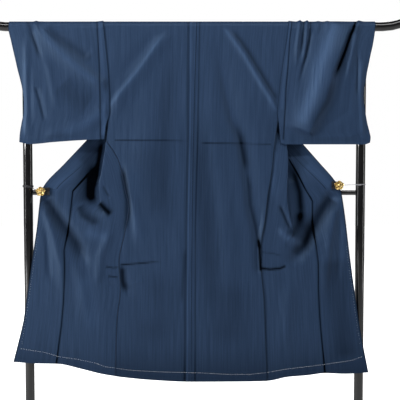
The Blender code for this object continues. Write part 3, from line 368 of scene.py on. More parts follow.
def soft_section(points, columns):
    """Round off a folded section: many points on a smooth curve that keeps its two ends."""
    points = np.asarray(points, float)
    legs = np.linalg.norm(np.diff(points, axis=1), axis=2).mean(axis=0)
    run = np.concatenate(([0.0], np.cumsum(legs)))
    places = np.interp(np.linspace(0.0, run[-1], columns), run, np.arange(len(run)))
    ends = (2.0 * points[:, :1] - points[:, 1:2], points, 2.0 * points[:, -1:] - points[:, -2:-1])
    padded = np.concatenate(ends, axis=1)
    spot = np.clip(places.astype(int), 0, len(run) - 2)
    part = (places - spot)[None, :, None]
    before, here = padded[:, spot], padded[:, spot + 1]
    after, beyond = padded[:, spot + 2], padded[:, spot + 3]
    curve = (1.0 - part) ** 3 * before + (3.0 * part ** 3 - 6.0 * part ** 2 + 4.0) * here
    curve += (1.0 + 3.0 * part + 3.0 * part ** 2 - 3.0 * part ** 3) * after + part ** 3 * beyond
    return curve / 6.0


rows_down = np.array(top_rows + list(np.arange(2.45, HEM_NOMINAL, ROW_STEP)) + [HEM_NOMINAL])
print("rows from shoulder to hem:", len(rows_down))

# %% [markdown]
# ## Folds and creases
# Silk that hangs from a rod falls in long soft folds, and silk that has lain folded in a drawer
# keeps sharp lines across it. Both are written as rows: a kind, a height, a width and the
# line that the fold follows. A "soft" fold is rounded, a "sharp" one is pressed, and a "step"
# is an edge where the cloth on one side stands over the other.

# %% Heights of folds
def along_line(x, down, points):
    """Distance to a line of points, the side it lies on, and how far along the line it is."""
    points = np.array(points, float)
    lengths = np.linalg.norm(np.diff(points, axis=0), axis=1)
    starts = np.concatenate(([0.0], np.cumsum(lengths)))
    best = np.full(x.shape, 1e9)
    side = np.zeros(x.shape)
    travel = np.zeros(x.shape)
    for k in range(len(lengths)):
        way = (points[k + 1] - points[k]) / lengths[k]
        off_x, off_down = x - points[k, 0], down - points[k, 1]
        go = np.clip(off_x * way[0] + off_down * way[1], 0.0, lengths[k])
        near_x, near_down = off_x - go * way[0], off_down - go * way[1]
        gap = np.hypot(near_x, near_down)
        closer = gap < best
        best = np.where(closer, gap, best)
        side = np.where(closer, np.sign(near_down * way[0] - near_x * way[1]), side)
        travel = np.where(closer, (starts[k] + go) / starts[-1], travel)
    return best, side, travel


def fold_height(rows, x, down, kinds=("soft", "sharp", "step")):
    """Sum of a table's folds over a panel; a height is in centimetres towards the outside. For "line" rows the sum is
    a painted shade, not a height.
    """
    total = np.zeros(x.shape)
    for kind, height, width, fade_in, fade_out, points in rows:
        if kind not in kinds:
            continue
        gap, side, travel = along_line(x, down, points)
        ends = ramp(travel, -1e-6, fade_in) if fade_in > 0.0 else 1.0
        ends = ends * (1.0 - ramp(travel, 1.0 - fade_out, 1.0 + 1e-6) if fade_out > 0.0 else 1.0)
        near, far = width if isinstance(width, tuple) else (width, width)
        width = np.where(side > 0.0, near, far)
        if kind in ("soft", "line"):
            shape = np.exp(-(gap / width) ** 2)
        elif kind == "sharp":
            shape = np.exp(-gap / width)
        else:
            shape = np.where(side > 0.0, np.exp(-gap / width), np.exp(-(gap / 0.25) ** 2))
        total += height * ends * shape
    return total


def slack(x, down, seed, strength):
    """Faint unevenness of hanging silk: a few broad waves in set directions."""
    draw = random.Random(seed)
    total = np.zeros(x.shape)
    for _ in range(14):
        length = draw.uniform(3.0, 16.0)
        turn = draw.uniform(-0.5, 0.5) if draw.random() < 0.7 else draw.uniform(-1.5, 1.5)
        phase = draw.uniform(0.0, 2.0 * math.pi)
        wave = (x * math.cos(turn) + down * 0.35 * math.sin(turn)) * 2.0 * math.pi / length + phase
        total += np.sin(wave) * length / 16.0
    return strength * total / 6.0


# %% Folds of each panel
# Columns: kind, height, width (or the widths to the left and right of a line that runs down), how much of the line
# fades in and out, and its points as x and down. A "line" has a painted shade in place of a height: shade painted into
# the silk's colour along seams, pressed creases, fold hollows and the hem, or, below zero, a painted highlight along
# lit folds.
FOLDS = {
    "back": (
        ("soft", 0.75, (1.1, 3.6), 0.2, 0.0, ((-9, 2.5), (-15, 9.5), (-20, 17), (-28, 27), (-34, 34))),
        ("soft", -0.30, (2.4, 1.6), 0.2, 0.2, ((-13, 2), (-21, 12), (-30, 23))),
        ("soft", 0.72, (1.5, 0.9), 0.15, 0.0, ((10.5, 0.6), (15, 6), (20, 13), (26, 23), (31, 31), (33.5, 36))),
        ("soft", -0.28, (1.0, 2.4), 0.2, 0.1, ((14, 2), (20, 9), (26, 18), (32, 29))),
        ("soft", -1.00, (1.8, 4.5), 0.3, 0.0, ((9.5, 3), (10, 15), (12, 25), (15, 38), (18, 45), (20, 55),
                                               (21.5, 65), (22, 72), (24, 80), (25.5, 88), (26, 97))),
        ("soft", 0.45, (3.0, 3.0), 0.4, 0.3, ((6, 10), (7, 40), (12, 70), (14, 100), (15, 128))),
        ("soft", 0.40, (5.0, 5.0), 0.4, 0.4, ((-17, 20), (-19, 60), (-17, 84))),
        ("soft", 0.75, (1.3, 2.6), 0.2, 0.3, ((-26.5, 54), (-25, 66), (-23.0, 78), (-22, 90))),
        ("soft", -0.45, (1.0, 2.2), 0.3, 0.3, ((-28.6, 94), (-27.6, 102), (-25, 109))),
        ("sharp", -0.10, 0.5, 0.2, 0.2, ((-3.4, 60), (-3.9, 95), (-5, 116))),
        ("step", 0.22, 1.4, 0.0, 0.1, ((-3, 46.6), (-20, 46.4), (-31, 46.3))),
        ("step", 0.22, 1.4, 0.1, 0.0, ((30, 47.9), (15, 47.6), (2, 47.4))),
        ("sharp", -0.20, 0.5, 0.05, 0.3, ((-29.5, 96), (-22, 95.2), (-12, 94))),
        ("sharp", 0.14, 0.8, 0.1, 0.3, ((-29.5, 94.6), (-22, 93.8), (-12, 92.8))),
        ("sharp", -0.10, 0.6, 0.2, 0.2, ((5, 93.6), (15, 93.4))),
        ("sharp", 0.16, 0.6, 0.2, 0.3, ((-29, 105), (-24, 103), (-18, 101.5))),
        ("line", -0.30, 0.8, 0.2, 0.1, ((-10.5, 4), (-16, 10.5), (-21, 18), (-29, 28), (-34.5, 34.5))),
        ("line", -0.42, 0.7, 0.1, 0.05, ((10.8, 1.5), (14.5, 6.5), (19.2, 13), (25, 23), (30, 31), (32.8, 36))),
        ("line", 0.40, (0.3, 1.2), 0.2, 0.1, ((13.5, 2), (17.5, 7), (22, 13.5), (28, 23.5), (33, 31.5))),
        ("line", 0.30, 4.0, 0.3, 0.3, ((1, 30), (3, 60), (6, 90), (8, 118))),
        ("line", 0.75, (0.7, 1.3), 0.15, 0.3, ((-28.6, 56), (-27.4, 62), (-26.2, 69), (-26.0, 75), (-27.4, 84))),
        ("line", 0.20, 8.0, 0.3, 0.3, ((-17, 96), (-16, 130))),
        ("line", 0.22, 8.0, 0.3, 0.3, ((14, 100), (14, 130))),
        ("line", 0.16, 6.0, 0.3, 0.3, ((-20, 44), (-17, 60), (-16, 80))),
        ("line", 0.22, 3.0, 0.3, 0.3, ((-8, 6), (-11, 30), (-12, 62), (-11, 88))),
        ("line", -0.20, 2.4, 0.3, 0.3, ((-24, 52), (-23.4, 66), (-22, 80), (-20, 92))),
        ("line", -0.16, 3.5, 0.3, 0.3, ((-21, 98), (-19, 110), (-18, 122))),
        ("line", 0.46, 13.0, 0.0, 0.0, ((-32, 143), (-15, 144), (10, 144), (31, 143))),
        ("line", 0.42, 0.55, 0.0, 0.0, ((-2.3, 0), (-2.4, 40), (-3.2, 80), (-3.8, 142))),
        ("line", -0.55, 0.20, 0.0, 0.0, ((-1.2, 0), (-1.6, 40), (-2.4, 80), (-2.9, 142))),
        ("line", -0.25, 0.18, 0.0, 0.0, ((0.6, 0), (-0.3, 40), (-1.1, 80), (-1.5, 142))),
        ("line", 0.50, 0.28, 0.0, 0.0, ((2.2, 0), (1.5, 40), (0.5, 80), (0.3, 142))),
        ("line", 0.62, 0.22, 0.0, 0.1, ((-31, 46.4), (-20, 46.5), (-3, 46.7))),
        ("line", 0.62, 0.22, 0.1, 0.0, ((2, 47.5), (15, 47.7), (30, 48.0))),
        ("line", 0.72, (0.7, 1.7), 0.45, 0.25, ((15.4, 38), (18, 45.5), (19, 51), (20.5, 60))),
        ("line", 0.55, (0.5, 1.2), 0.3, 0.0, ((20, 55), (21.5, 65), (22, 72), (24, 80), (25.6, 88))),
        ("line", 1.00, 0.7, 0.3, 0.0, ((25.0, 84), (25.8, 90), (26.2, 97.5))),
        ("line", 0.85, 0.30, 0.05, 0.4, ((-29.5, 95.6), (-22, 95), (-12, 94))),
        ("line", 0.75, 1.5, 0.2, 0.3, ((-28.6, 95.5), (-28.4, 102), (-26.5, 107))),
        ("line", 0.30, 0.8, 0.2, 0.2, ((-3.6, 88), (-4, 96), (-5, 112))),
        ("line", 0.25, 0.5, 0.0, 0.0, ((-30.4, 110), (-31, 125), (-31.5, 142))),
    ),
    "front_left": (
        ("soft", -1.50, (2.8, 2.2), 0.05, 0.3, ((-59.5, 68), (-55, 75), (-50, 82), (-46, 88), (-43, 95), (-40, 99))),
        ("soft", 0.85, (1.6, 2.6), 0.1, 0.4, ((-59.5, 71), (-55.5, 84), (-52.5, 96), (-52, 112))),
        ("soft", -0.45, 1.1, 0.2, 0.3, ((-58.8, 80), (-57.8, 90), (-57.0, 104))),
        ("soft", 0.50, (2.4, 2.0), 0.3, 0.4, ((-47, 92), (-44, 106), (-42, 122))),
        ("sharp", -0.30, 0.5, 0.1, 0.2, ((-35, 96.4), (-32, 97.0), (-29.6, 96.8))),
        ("sharp", -0.28, 0.4, 0.1, 0.1, ((-34, 100.2), (-29.8, 100.8))),
        ("sharp", -0.20, 0.4, 0.1, 0.1, ((-33.5, 103.0), (-30, 103.6))),
        ("soft", 0.50, 1.6, 0.2, 0.2, ((-33, 82), (-37, 92), (-38, 104))),
        ("soft", -0.30, 1.0, 0.1, 0.2, ((-36, 64), (-34.5, 67), (-33, 69))),
        ("line", 0.62, (2.4, 2.0), 0.05, 0.3, ((-58.5, 69.5), (-55, 75), (-50, 82), (-46, 88), (-43, 95))),
        ("line", 0.90, 0.32, 0.0, 0.0, ((-42.0, 60), (-47.9, 66.5), (-48.3, 70), (-49.4, 79), (-51.3, 90),
                                        (-51.1, 97), (-51.7, 110), (-52.6, 120), (-54.8, 136))),
        ("line", 0.97, 1.4, 0.1, 0.2, ((-37.5, 71), (-35, 73.5), (-32.5, 76))),
        ("line", 0.97, (1.3, 1.0), 0.25, 0.3, ((-36.2, 44), (-37.2, 52), (-38.6, 60), (-39.2, 67))),
        ("line", 0.90, (2.4, 1.2), 0.35, 0.35, ((-38.6, 55), (-39.8, 62), (-40.0, 68), (-38.6, 73.5))),
        ("line", 0.62, (5.5, 2.0), 0.15, 0.15, ((-38.5, 46), (-40.5, 55), (-42, 64), (-41, 73))),
        ("line", 0.60, (1.2, 2.6), 0.1, 0.3, ((-45.8, 72), (-44, 76), (-40, 78.5), (-36, 78.5))),
        ("line", -0.28, 2.2, 0.2, 0.2, ((-44, 82), (-38, 84), (-33, 85))),
        ("line", -0.22, 3.0, 0.2, 0.3, ((-44, 98), (-41, 112), (-40, 124))),
        ("line", 0.40, 10.0, 0.0, 0.0, ((-74, 139), (-54, 140), (-44, 143), (-30, 145))),
        ("line", -0.25, 2.0, 0.1, 0.1, ((-58, 66.5), (-54, 64), (-49, 60), (-44.5, 54))),
        ("line", 0.45, 0.4, 0.2, 0.2, ((-36, 64), (-34.5, 67), (-33, 69))),
        ("line", 0.60, 0.9, 0.2, 0.3, ((-29.2, 56), (-28, 62), (-26.6, 70), (-26.6, 77), (-28.4, 86))),
        ("line", 0.70, 0.3, 0.1, 0.2, ((-35, 96.2), (-32, 96.8), (-29.6, 96.6))),
        ("line", 0.70, 0.3, 0.1, 0.2, ((-34, 100.0), (-29.8, 100.6))),
    ),
    "front_right": (
        ("soft", -1.60, (2.4, 2.4), 0.05, 0.2, ((55.5, 67), (51, 74), (47, 81), (44, 88), (40, 93), (36.5, 96))),
        ("soft", 0.90, (2.6, 1.6), 0.1, 0.4, ((56.5, 71), (54, 82), (52, 96), (51.5, 112))),
        ("soft", -0.45, 1.2, 0.2, 0.3, ((57.5, 76), (57.5, 92), (56.5, 106))),
        ("sharp", -0.50, 0.6, 0.0, 0.2, ((26.5, 97), (30, 97.4), (34, 97), (36.5, 95.8))),
        ("sharp", -0.20, 0.5, 0.0, 0.3, ((27, 90.6), (31, 91.0), (35, 92))),
        ("soft", 0.60, (1.2, 1.0), 0.2, 0.2, ((33.8, 80), (35, 83), (38, 85.4), (41.5, 86.4))),
        ("soft", -0.55, 0.8, 0.2, 0.2, ((33.5, 71.5), (35, 75), (38, 82))),
        ("sharp", -0.16, 0.4, 0.2, 0.2, ((50, 88), (53, 86.6))),
        ("sharp", -0.16, 0.4, 0.2, 0.2, ((50, 91.5), (54, 90))),
        ("soft", 0.55, 2.4, 0.3, 0.3, ((38, 100), (37, 114), (36, 130))),
        ("line", 0.66, (2.0, 2.6), 0.05, 0.3, ((54.5, 69), (51, 74), (47, 81), (44, 88), (40, 93))),
        ("line", 0.92, 0.32, 0.0, 0.0, ((37.5, 54), (41, 60), (43.7, 65.5), (46.7, 70.5), (46.7, 79), (48, 87),
                                        (49, 95), (49.1, 105), (50, 120), (52, 140))),
        ("line", 0.30, 5.0, 0.1, 0.1, ((55, 92), (57, 110), (61, 134))),
        ("line", 0.46, 13.0, 0.0, 0.0, ((28, 146), (40, 144), (52, 143), (72, 142))),
        ("line", 0.35, 2.4, 0.1, 0.3, ((39.5, 92), (44, 84), (46.5, 76))),
        ("line", -0.50, 1.5, 0.2, 0.2, ((34, 80.5), (36, 84), (40, 86.4), (43.5, 87))),
        ("line", 0.55, (1.5, 3.0), 0.2, 0.2, ((41.5, 74), (41, 80), (39, 83), (37, 80))),
        ("line", -0.30, 1.6, 0.1, 0.1, ((44, 56), (49, 60), (54, 65))),
        ("line", -0.25, 1.4, 0.1, 0.3, ((31.5, 50), (31, 60), (31.5, 72))),
        ("line", 0.96, 0.50, 0.0, 0.1, ((26.5, 97), (30, 97.4), (34, 97), (36.5, 95.8))),
        ("line", 0.93, 1.6, 0.3, 0.35, ((37.0, 53), (39.6, 60), (41.6, 67), (42.2, 75), (41.4, 83))),
        ("line", 0.60, 0.6, 0.2, 0.2, ((33.5, 71.5), (35, 75), (38, 82))),
        ("line", 0.50, 0.9, 0.1, 0.3, ((30.6, 56), (29, 68), (27.8, 78), (26.6, 88))),
        ("line", 0.35, 0.3, 0.0, 0.3, ((27, 90.6), (31, 91.0), (35, 92))),
    ),
    "sleeve_left": (
        ("soft", 1.15, (3.0, 2.0), 0.22, 0.0, ((-62.5, 0), (-58.5, 5), (-52, 12), (-44, 19), (-36.5, 24))),
        ("soft", 0.30, (0.5, 0.5), 0.0, 0.6, ((-62.0, 0), (-59.6, 6))),
        ("soft", -0.50, (1.4, 2.4), 0.1, 0.1, ((-59.5, 0), (-54, 5.5), (-48, 10), (-41, 14.5))),
        ("soft", -0.70, (0.7, 1.0), 0.0, 0.3, ((-65.2, 0), (-64, 3.5), (-61.6, 10), (-59.4, 16))),
        ("soft", 0.35, (1.2, 1.6), 0.3, 0.3, ((-59, 12), (-56.5, 20), (-54.5, 30), (-53.5, 36))),
        ("soft", -0.45, (0.5, 1.4), 0.15, 0.25, ((-62.2, 25), (-60.5, 31), (-58.5, 40))),
        ("soft", 0.55, 2.6, 0.2, 0.0, ((-60, 45.5), (-50, 44.0), (-41, 40.5), (-36.8, 36))),
        ("soft", 0.35, (0.9, 1.6), 0.2, 0.1, ((-65.6, 4), (-65.6, 20), (-65.8, 46))),
        ("soft", -0.20, 0.9, 0.2, 0.2, ((-64.2, 16), (-63.8, 30), (-64, 42))),
        ("sharp", -0.12, 0.3, 0.0, 0.0, ((-38.0, 0), (-37.5, 8), (-37, 18), (-36.8, 30), (-36.7, 46))),
        ("line", 0.75, 0.26, 0.0, 0.0, ((-38.0, 0), (-37.5, 8), (-37, 18), (-36.8, 30), (-36.7, 46))),
        ("line", -0.30, 0.7, 0.0, 0.0, ((-36.8, 0), (-36.3, 9), (-35.6, 20), (-35.1, 30), (-35.2, 44))),
        ("line", -0.30, 1.6, 0.1, 0.1, ((-61.5, 1.5), (-57, 6.5), (-50.5, 13.5), (-43, 20), (-37.5, 24.5))),
        ("line", 0.30, 1.8, 0.1, 0.1, ((-58.5, 2), (-53, 6), (-46, 11), (-40, 15.5))),
        ("line", -0.30, 2.0, 0.2, 0.0, ((-52, 44.5), (-44, 41.5), (-37.5, 37))),
        ("line", 0.25, 0.5, 0.0, 0.4, ((-62.4, 0), (-60.4, 4), (-58.6, 8))),
        ("line", 0.22, 4.5, 0.1, 0.1, ((-52, 24), (-46, 30), (-41, 33))),
        ("line", -0.35, 0.7, 0.3, 0.1, ((-35.3, 30), (-35.4, 38), (-35.9, 45))),
        ("line", 0.45, (0.4, 0.7), 0.0, 0.4, ((-65.2, 0), (-64, 3.5), (-61.6, 10), (-59.4, 16))),
        ("line", 0.30, 0.35, 0.15, 0.25, ((-62.2, 25), (-60.5, 31), (-58.5, 40))),
        ("line", -0.22, 0.8, 0.1, 0.0, ((-66.2, 14), (-66.4, 30), (-66.8, 46))),
    ),
    "sleeve_right": (
        ("soft", 0.55, (0.8, 0.6), 0.0, 0.4, ((41.5, 0), (40.3, 10), (39.8, 19))),
        ("soft", -0.50, (0.5, 0.6), 0.0, 0.4, ((42.9, 0), (42.3, 8), (41.6, 15))),
        ("soft", 0.50, (0.8, 0.5), 0.0, 0.3, ((44.3, 0), (43.8, 8), (42.4, 18))),
        ("soft", -0.55, (0.6, 1.0), 0.0, 0.4, ((45.6, 0), (45.2, 6), (43.6, 14), (40.5, 26))),
        ("soft", 0.20, 0.7, 0.0, 0.5, ((48.6, 0), (48, 6))),
        ("soft", -0.16, 0.6, 0.0, 0.5, ((50.2, 0), (49.4, 5))),
        ("soft", 0.18, 0.6, 0.0, 0.5, ((52.2, 0), (51.6, 5))),
        ("soft", 2.50, (6.2, 2.2), 0.30, 0.05, ((61.6, 0), (58.2, 8), (54.6, 17), (52.9, 23), (50.6, 31), (47, 38),
                                               (44, 45))),
        ("soft", 0.11, 0.36, 0.3, 0.3, ((46.9, 14), (46.2, 29))),
        ("soft", 0.09, 0.32, 0.3, 0.3, ((48.5, 12), (47.7, 22), (47.6, 31))),
        ("soft", 0.12, 0.34, 0.3, 0.3, ((50.1, 13), (49.3, 27))),
        ("soft", 0.08, 0.30, 0.3, 0.3, ((51.4, 10), (50.9, 20))),
        ("soft", 0.08, 0.34, 0.3, 0.3, ((44.6, 24), (44.0, 40))),
        ("soft", -1.10, (0.7, 1.0), 0.0, 0.3, ((63.0, 0), (60.6, 6), (58.4, 12), (56.2, 18), (54.4, 23.5))),
        ("soft", 0.60, (0.6, 1.4), 0.0, 0.3, ((64.0, 0), (62.4, 9), (60.4, 18), (59, 26))),
        ("soft", -0.35, (0.6, 0.6), 0.2, 0.2, ((64.0, 10), (63.7, 30))),
        ("soft", 0.45, (0.8, 1.2), 0.2, 0.1, ((65.5, 14), (65.3, 30), (66, 45))),
        ("soft", 0.40, 1.8, 0.2, 0.2, ((40, 46), (50, 45.6), (60, 45.2), (67, 43))),
        ("soft", -0.25, 1.6, 0.2, 0.2, ((62, 34), (56, 38), (50, 42))),
        ("sharp", -0.12, 0.3, 0.0, 0.0, ((38.2, 0), (37.3, 8), (36.7, 18), (36, 26), (35.7, 34), (35.4, 39.5))),
        ("line", 0.75, 0.26, 0.0, 0.0, ((38.2, 0), (37.3, 8), (36.7, 18), (36, 26), (35.7, 34), (35.0, 46))),
        ("line", -0.30, 0.5, 0.0, 0.0, ((37.7, 0), (36.8, 8), (35.9, 16), (35.0, 25), (34.4, 34))),
        ("line", 0.60, 0.35, 0.0, 0.5, ((42.9, 0), (42.3, 8), (41.6, 15))),
        ("line", 0.60, 0.40, 0.0, 0.5, ((45.6, 0), (45.2, 6), (43.6, 14), (40.5, 26))),
        ("line", 0.97, (0.45, 0.6), 0.0, 0.30, ((63.2, 0), (61.0, 6), (58.8, 12), (56.4, 18), (54.4, 23.5))),
        ("line", 0.40, (1.2, 2.2), 0.05, 0.30, ((62.8, 1), (60.8, 6), (58.6, 12), (56.2, 18), (54.2, 24))),
        ("line", -0.55, (3.0, 2.6), 0.05, 0.1, ((55.6, 0), (52.6, 8), (49.2, 17), (47.4, 25), (44.6, 33), (41.5, 42))),
        ("line", -0.25, 0.8, 0.1, 0.3, ((62.6, 4), (60.8, 12), (59.4, 20))),
        ("line", 0.30, (3.4, 0.8), 0.3, 0.2, ((55.4, 22), (52.6, 31), (47.4, 38), (44.5, 43))),
        ("line", 0.45, 0.22, 0.2, 0.2, ((64.0, 12), (63.7, 30))),
        ("line", -0.25, 0.8, 0.1, 0.0, ((65.4, 14), (65.3, 30), (66, 45))),
    ),
}
print("folds:", {name: len(rows) for name, rows in FOLDS.items()})

# %% [markdown]
# ## From a flat grid to a hung panel
# create_grid makes the flat cloth with its own UV map. Its vertices are then moved, all at once,
# to the places worked out for them, and the UV map is given the cloth's real width and length
# in metres, so that the weave has one scale everywhere. Solidify gives the silk its thickness.

# %% Make one panel
# Painted shade at the side edges of each panel: the outermost column and the next one are darkened, a painted dark
# seam line.
EDGE_SHADE = (0.80, 0.35)


def outward(grid):
    """Unit normals of a grid of places."""
    normal = np.cross(np.gradient(grid, axis=0), np.gradient(grid, axis=1))
    return normal / np.maximum(np.linalg.norm(normal, axis=2, keepdims=True), 1e-12)


def make_panel(name, grid, nodes, flip, material, shade=None):
    """A thin shell on a grid of places, in metres; rows run down and columns run across."""
    rows, columns = grid.shape[:2]
    bm = bmesh.new()
    bm.loops.layers.uv.new("cloth")
    bmesh.ops.create_grid(bm, x_segments=columns - 1, y_segments=rows - 1, size=0.5, calc_uvs=True)
    if flip:
        bmesh.ops.reverse_faces(bm, faces=bm.faces[:])
    for edge in bm.edges:
        edge.smooth = not edge.is_boundary
    mesh = bpy.data.meshes.new(name)
    bm.to_mesh(mesh)
    bm.free()
    flat = np.empty(rows * columns * 3)
    mesh.vertices.foreach_get("co", flat)
    flat = flat.reshape(-1, 3)
    across = np.rint((flat[:, 0] + 0.5) * (columns - 1)).astype(int)
    down = np.rint((flat[:, 1] + 0.5) * (rows - 1)).astype(int)
    mesh.vertices.foreach_set("co", grid[down, across].ravel())
    width = np.concatenate((np.zeros((rows, 1)), np.cumsum(np.linalg.norm(np.diff(grid, axis=1), axis=2), axis=1)), 1)
    length = np.concatenate((np.zeros((1, columns)), np.cumsum(np.linalg.norm(np.diff(grid, axis=0), axis=2), axis=0)), 0)
    corner = np.empty(len(mesh.loops), int)
    mesh.loops.foreach_get("vertex_index", corner)
    places = np.stack((width[down, across], length[down, across]), axis=1)
    mesh.uv_layers["cloth"].data.foreach_set("uv", places[corner].ravel())
    shade = np.zeros((rows, columns)) if shade is None else shade.copy()
    # Painted shade: the edge columns are darkened in colour, which draws a dark seam line and dims the lit rim of the
    # cut edge.
    for k, dark in enumerate(EDGE_SHADE):
        shade[:, k] = np.maximum(shade[:, k], dark)
        shade[:, columns - 1 - k] = np.maximum(shade[:, columns - 1 - k], dark)
    mark = mesh.attributes.new("shade", "FLOAT", "POINT")
    mark.data.foreach_set("value", shade[down, across].ravel())
    mesh.shade_smooth()
    mesh.materials.append(material)
    made = bpy.data.objects.new(name, mesh)
    bpy.context.scene.collection.objects.link(made)
    wall = made.modifiers.new("silk_thickness", "SOLIDIFY")
    wall.thickness = LINING
    wall.offset = -1.0
    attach(made, "root")
    if nodes:
        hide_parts(*nodes)
    mesh.update()
    holders = ["stand_top_rod"] if "back" in name or "sleeve" in name else ["stand_top_rod", name[5:].split("_")[1]]
    if len(holders) == 2:
        holders[1] = "clip_" + holders[1] + "_jaw"
    area = sum(face.area for face in mesh.polygons)
    print(name, rows, "x", columns, "flat width", round(float(width[:, -1].max()), 3), "length",
          round(float(length.max()), 3), "area", round(area, 4))
    return made


def to_metres(x, y, down):
    return np.stack((x * CM, y * CM, SHOULDER_Z - down * CM), axis=2)


def hem_down(x, down):
    """Lengthen or shorten the lowest rows so that the last one follows the hem."""
    share = np.clip((down - HEM_BLEND_FROM) / (HEM_NOMINAL - HEM_BLEND_FROM), 0.0, None)
    return np.where(down <= HEM_BLEND_FROM, down, HEM_BLEND_FROM + share * (read_line(HEM, x) - HEM_BLEND_FROM))


def add_folds(grid, rows, face, seen=None, seed=1, strength=0.03):
    """Push a panel along its own outward direction by its folds and a little slack."""
    normal = outward(grid) * face
    x = grid[:, :, 0] / CM
    down = (SHOULDER_Z - grid[:, :, 2]) / CM
    height = fold_height(rows, x, down)
    if seen is not None:
        height = height * seen
    height = height + slack(x, down, seed, strength) * ramp(down, 2.0, 8.0)
    return grid + normal * height[:, :, None] * CM


# %% [markdown]
# ## The back
# Two lengths of cloth are sewn together down the middle. A seam is pressed to one side, so the cloth stands a hair
# higher there, which throws a little real shade, and a fine line of painted shade, with painted highlight lines beside
# it, runs down the back.

# %% Back panels
SEAM_UNDER = 0.0030
SEAM_DROP = 0.0014


def seam_ridge(gap, height, width):
    """The small welt that a pressed seam leaves along an edge."""
    return height * np.exp(-(np.asarray(gap) / width) ** 2)


def finer_at_ends(columns):
    """Shares from 0 to 1 that lie closer together near both seams."""
    even = np.linspace(0.0, 1.0, columns)
    return 0.45 * even + 0.55 * (0.5 - 0.5 * np.cos(math.pi * even))


def tuck_under(grid, face, near=False, far=False, shade=None):
    """Carry an edge on under its neighbour, as a seam allowance, so that no gap shows."""
    normal = outward(grid) * face
    for wanted, edge, inside, place in ((near, 0, 1, 0), (far, -1, -2, grid.shape[1])):
        if wanted:
            step = grid[:, edge] - grid[:, inside]
            step = step / np.maximum(np.linalg.norm(step, axis=1, keepdims=True), 1e-9)
            strip = grid[:, edge] + step * SEAM_UNDER - normal[:, edge] * SEAM_DROP
            grid = np.insert(grid, place, strip, axis=1)
            if shade is not None:
                shade = np.insert(shade, place, shade[:, edge], axis=1)
            normal = np.insert(normal, place, normal[:, edge], axis=1)
    return grid, shade


BACK_COLUMNS = 100
share = finer_at_ends(BACK_COLUMNS)[None, :]
down = rows_down[:, None]
silk = bpy.data.materials.new("navy_silk")

backs = {}
for side, sign in SIDES.items():
    mid_x, mid_y = read_line(CENTRE, down), read_line(BACK_MID, down)
    side_x, side_y = sign * read_line(BACK_SIDE[side], down), read_line(BACK_SIDE[side], down, 2)
    x = mid_x + (side_x - mid_x) * share
    y = mid_y + (side_y - mid_y) * share ** 3
    deep = hem_down(x, down)
    ease = ramp(down, 2.2, 7.0)
    hold = ramp(down, 47.0, 57.0)
    free = hold + (1.0 - hold) * np.clip((1.0 - share) / 0.10, 0.0, 1.0)
    relief = fold_height(FOLDS["back"], x, down) * free
    relief = relief + seam_ridge(share * 30.0, 0.08 if side == "right" else -0.03, 0.45)
    # Painted shade from the back's "line" rows: dark seam and crease lines and a darker hem, and painted highlight
    # lines where it is below zero.
    shade = fold_height(FOLDS["back"], x, down, ("line",))
    relief = (relief + slack(x, down, 3, 0.035) * free) * (0.12 + 0.88 * ramp(1.0 - share, 0.0, 0.06))
    y = wrap_y(down, -1.0, y - ease * relief)
    grid = to_metres(x + 0.0 * y, y, deep + 0.0 * y)
    grid[0, :, 1] = 0.0
    grid, shade = tuck_under(grid, -1.0, near=side == "left", far=True, shade=shade)
    nodes = ["back_" + side + "_upper", "back_" + side + "_lower"]
    backs[side] = make_panel("silk_back_" + side, grid, nodes, side == "right", silk, shade)

# %% [markdown]
# ## The fronts, the overlap panels and the collar
# Each front hangs down behind the back, turns out from under it and is pulled tight to its
# clip. So its section at any depth is a folded line: from the side seam to a fold at the
# armpit, back under the body to a roll, and out again to the free edge. The overlap panel
# (okumi) and the collar are cut from the far end of the same line.

# %% Front sections
def line_pair(table, down):
    return np.stack((read_line(table, down, 1), read_line(table, down, 2)), axis=1)


def turn_room(before, tip, after):
    """How far from a fold's tip its two layers are far enough apart for two walls of cloth."""
    first, second = before - tip, after - tip
    first_size, second_size = np.linalg.norm(first, axis=1), np.linalg.norm(second, axis=1)
    reach = np.minimum(first_size, second_size)
    cosine = (first * second).sum(axis=1) / np.maximum(first_size * second_size, 1e-9)
    half = 0.5 * np.arccos(np.clip(cosine, -1.0, 1.0))
    return np.minimum(0.7 * reach, np.maximum(0.8, 0.27 / np.sin(np.maximum(half, 0.05))))


def toward(tip, other, room):
    """The points a given distance from one line towards another."""
    step = other - tip
    return tip + step * (room / np.maximum(np.linalg.norm(step, axis=1), 1e-9))[:, None]


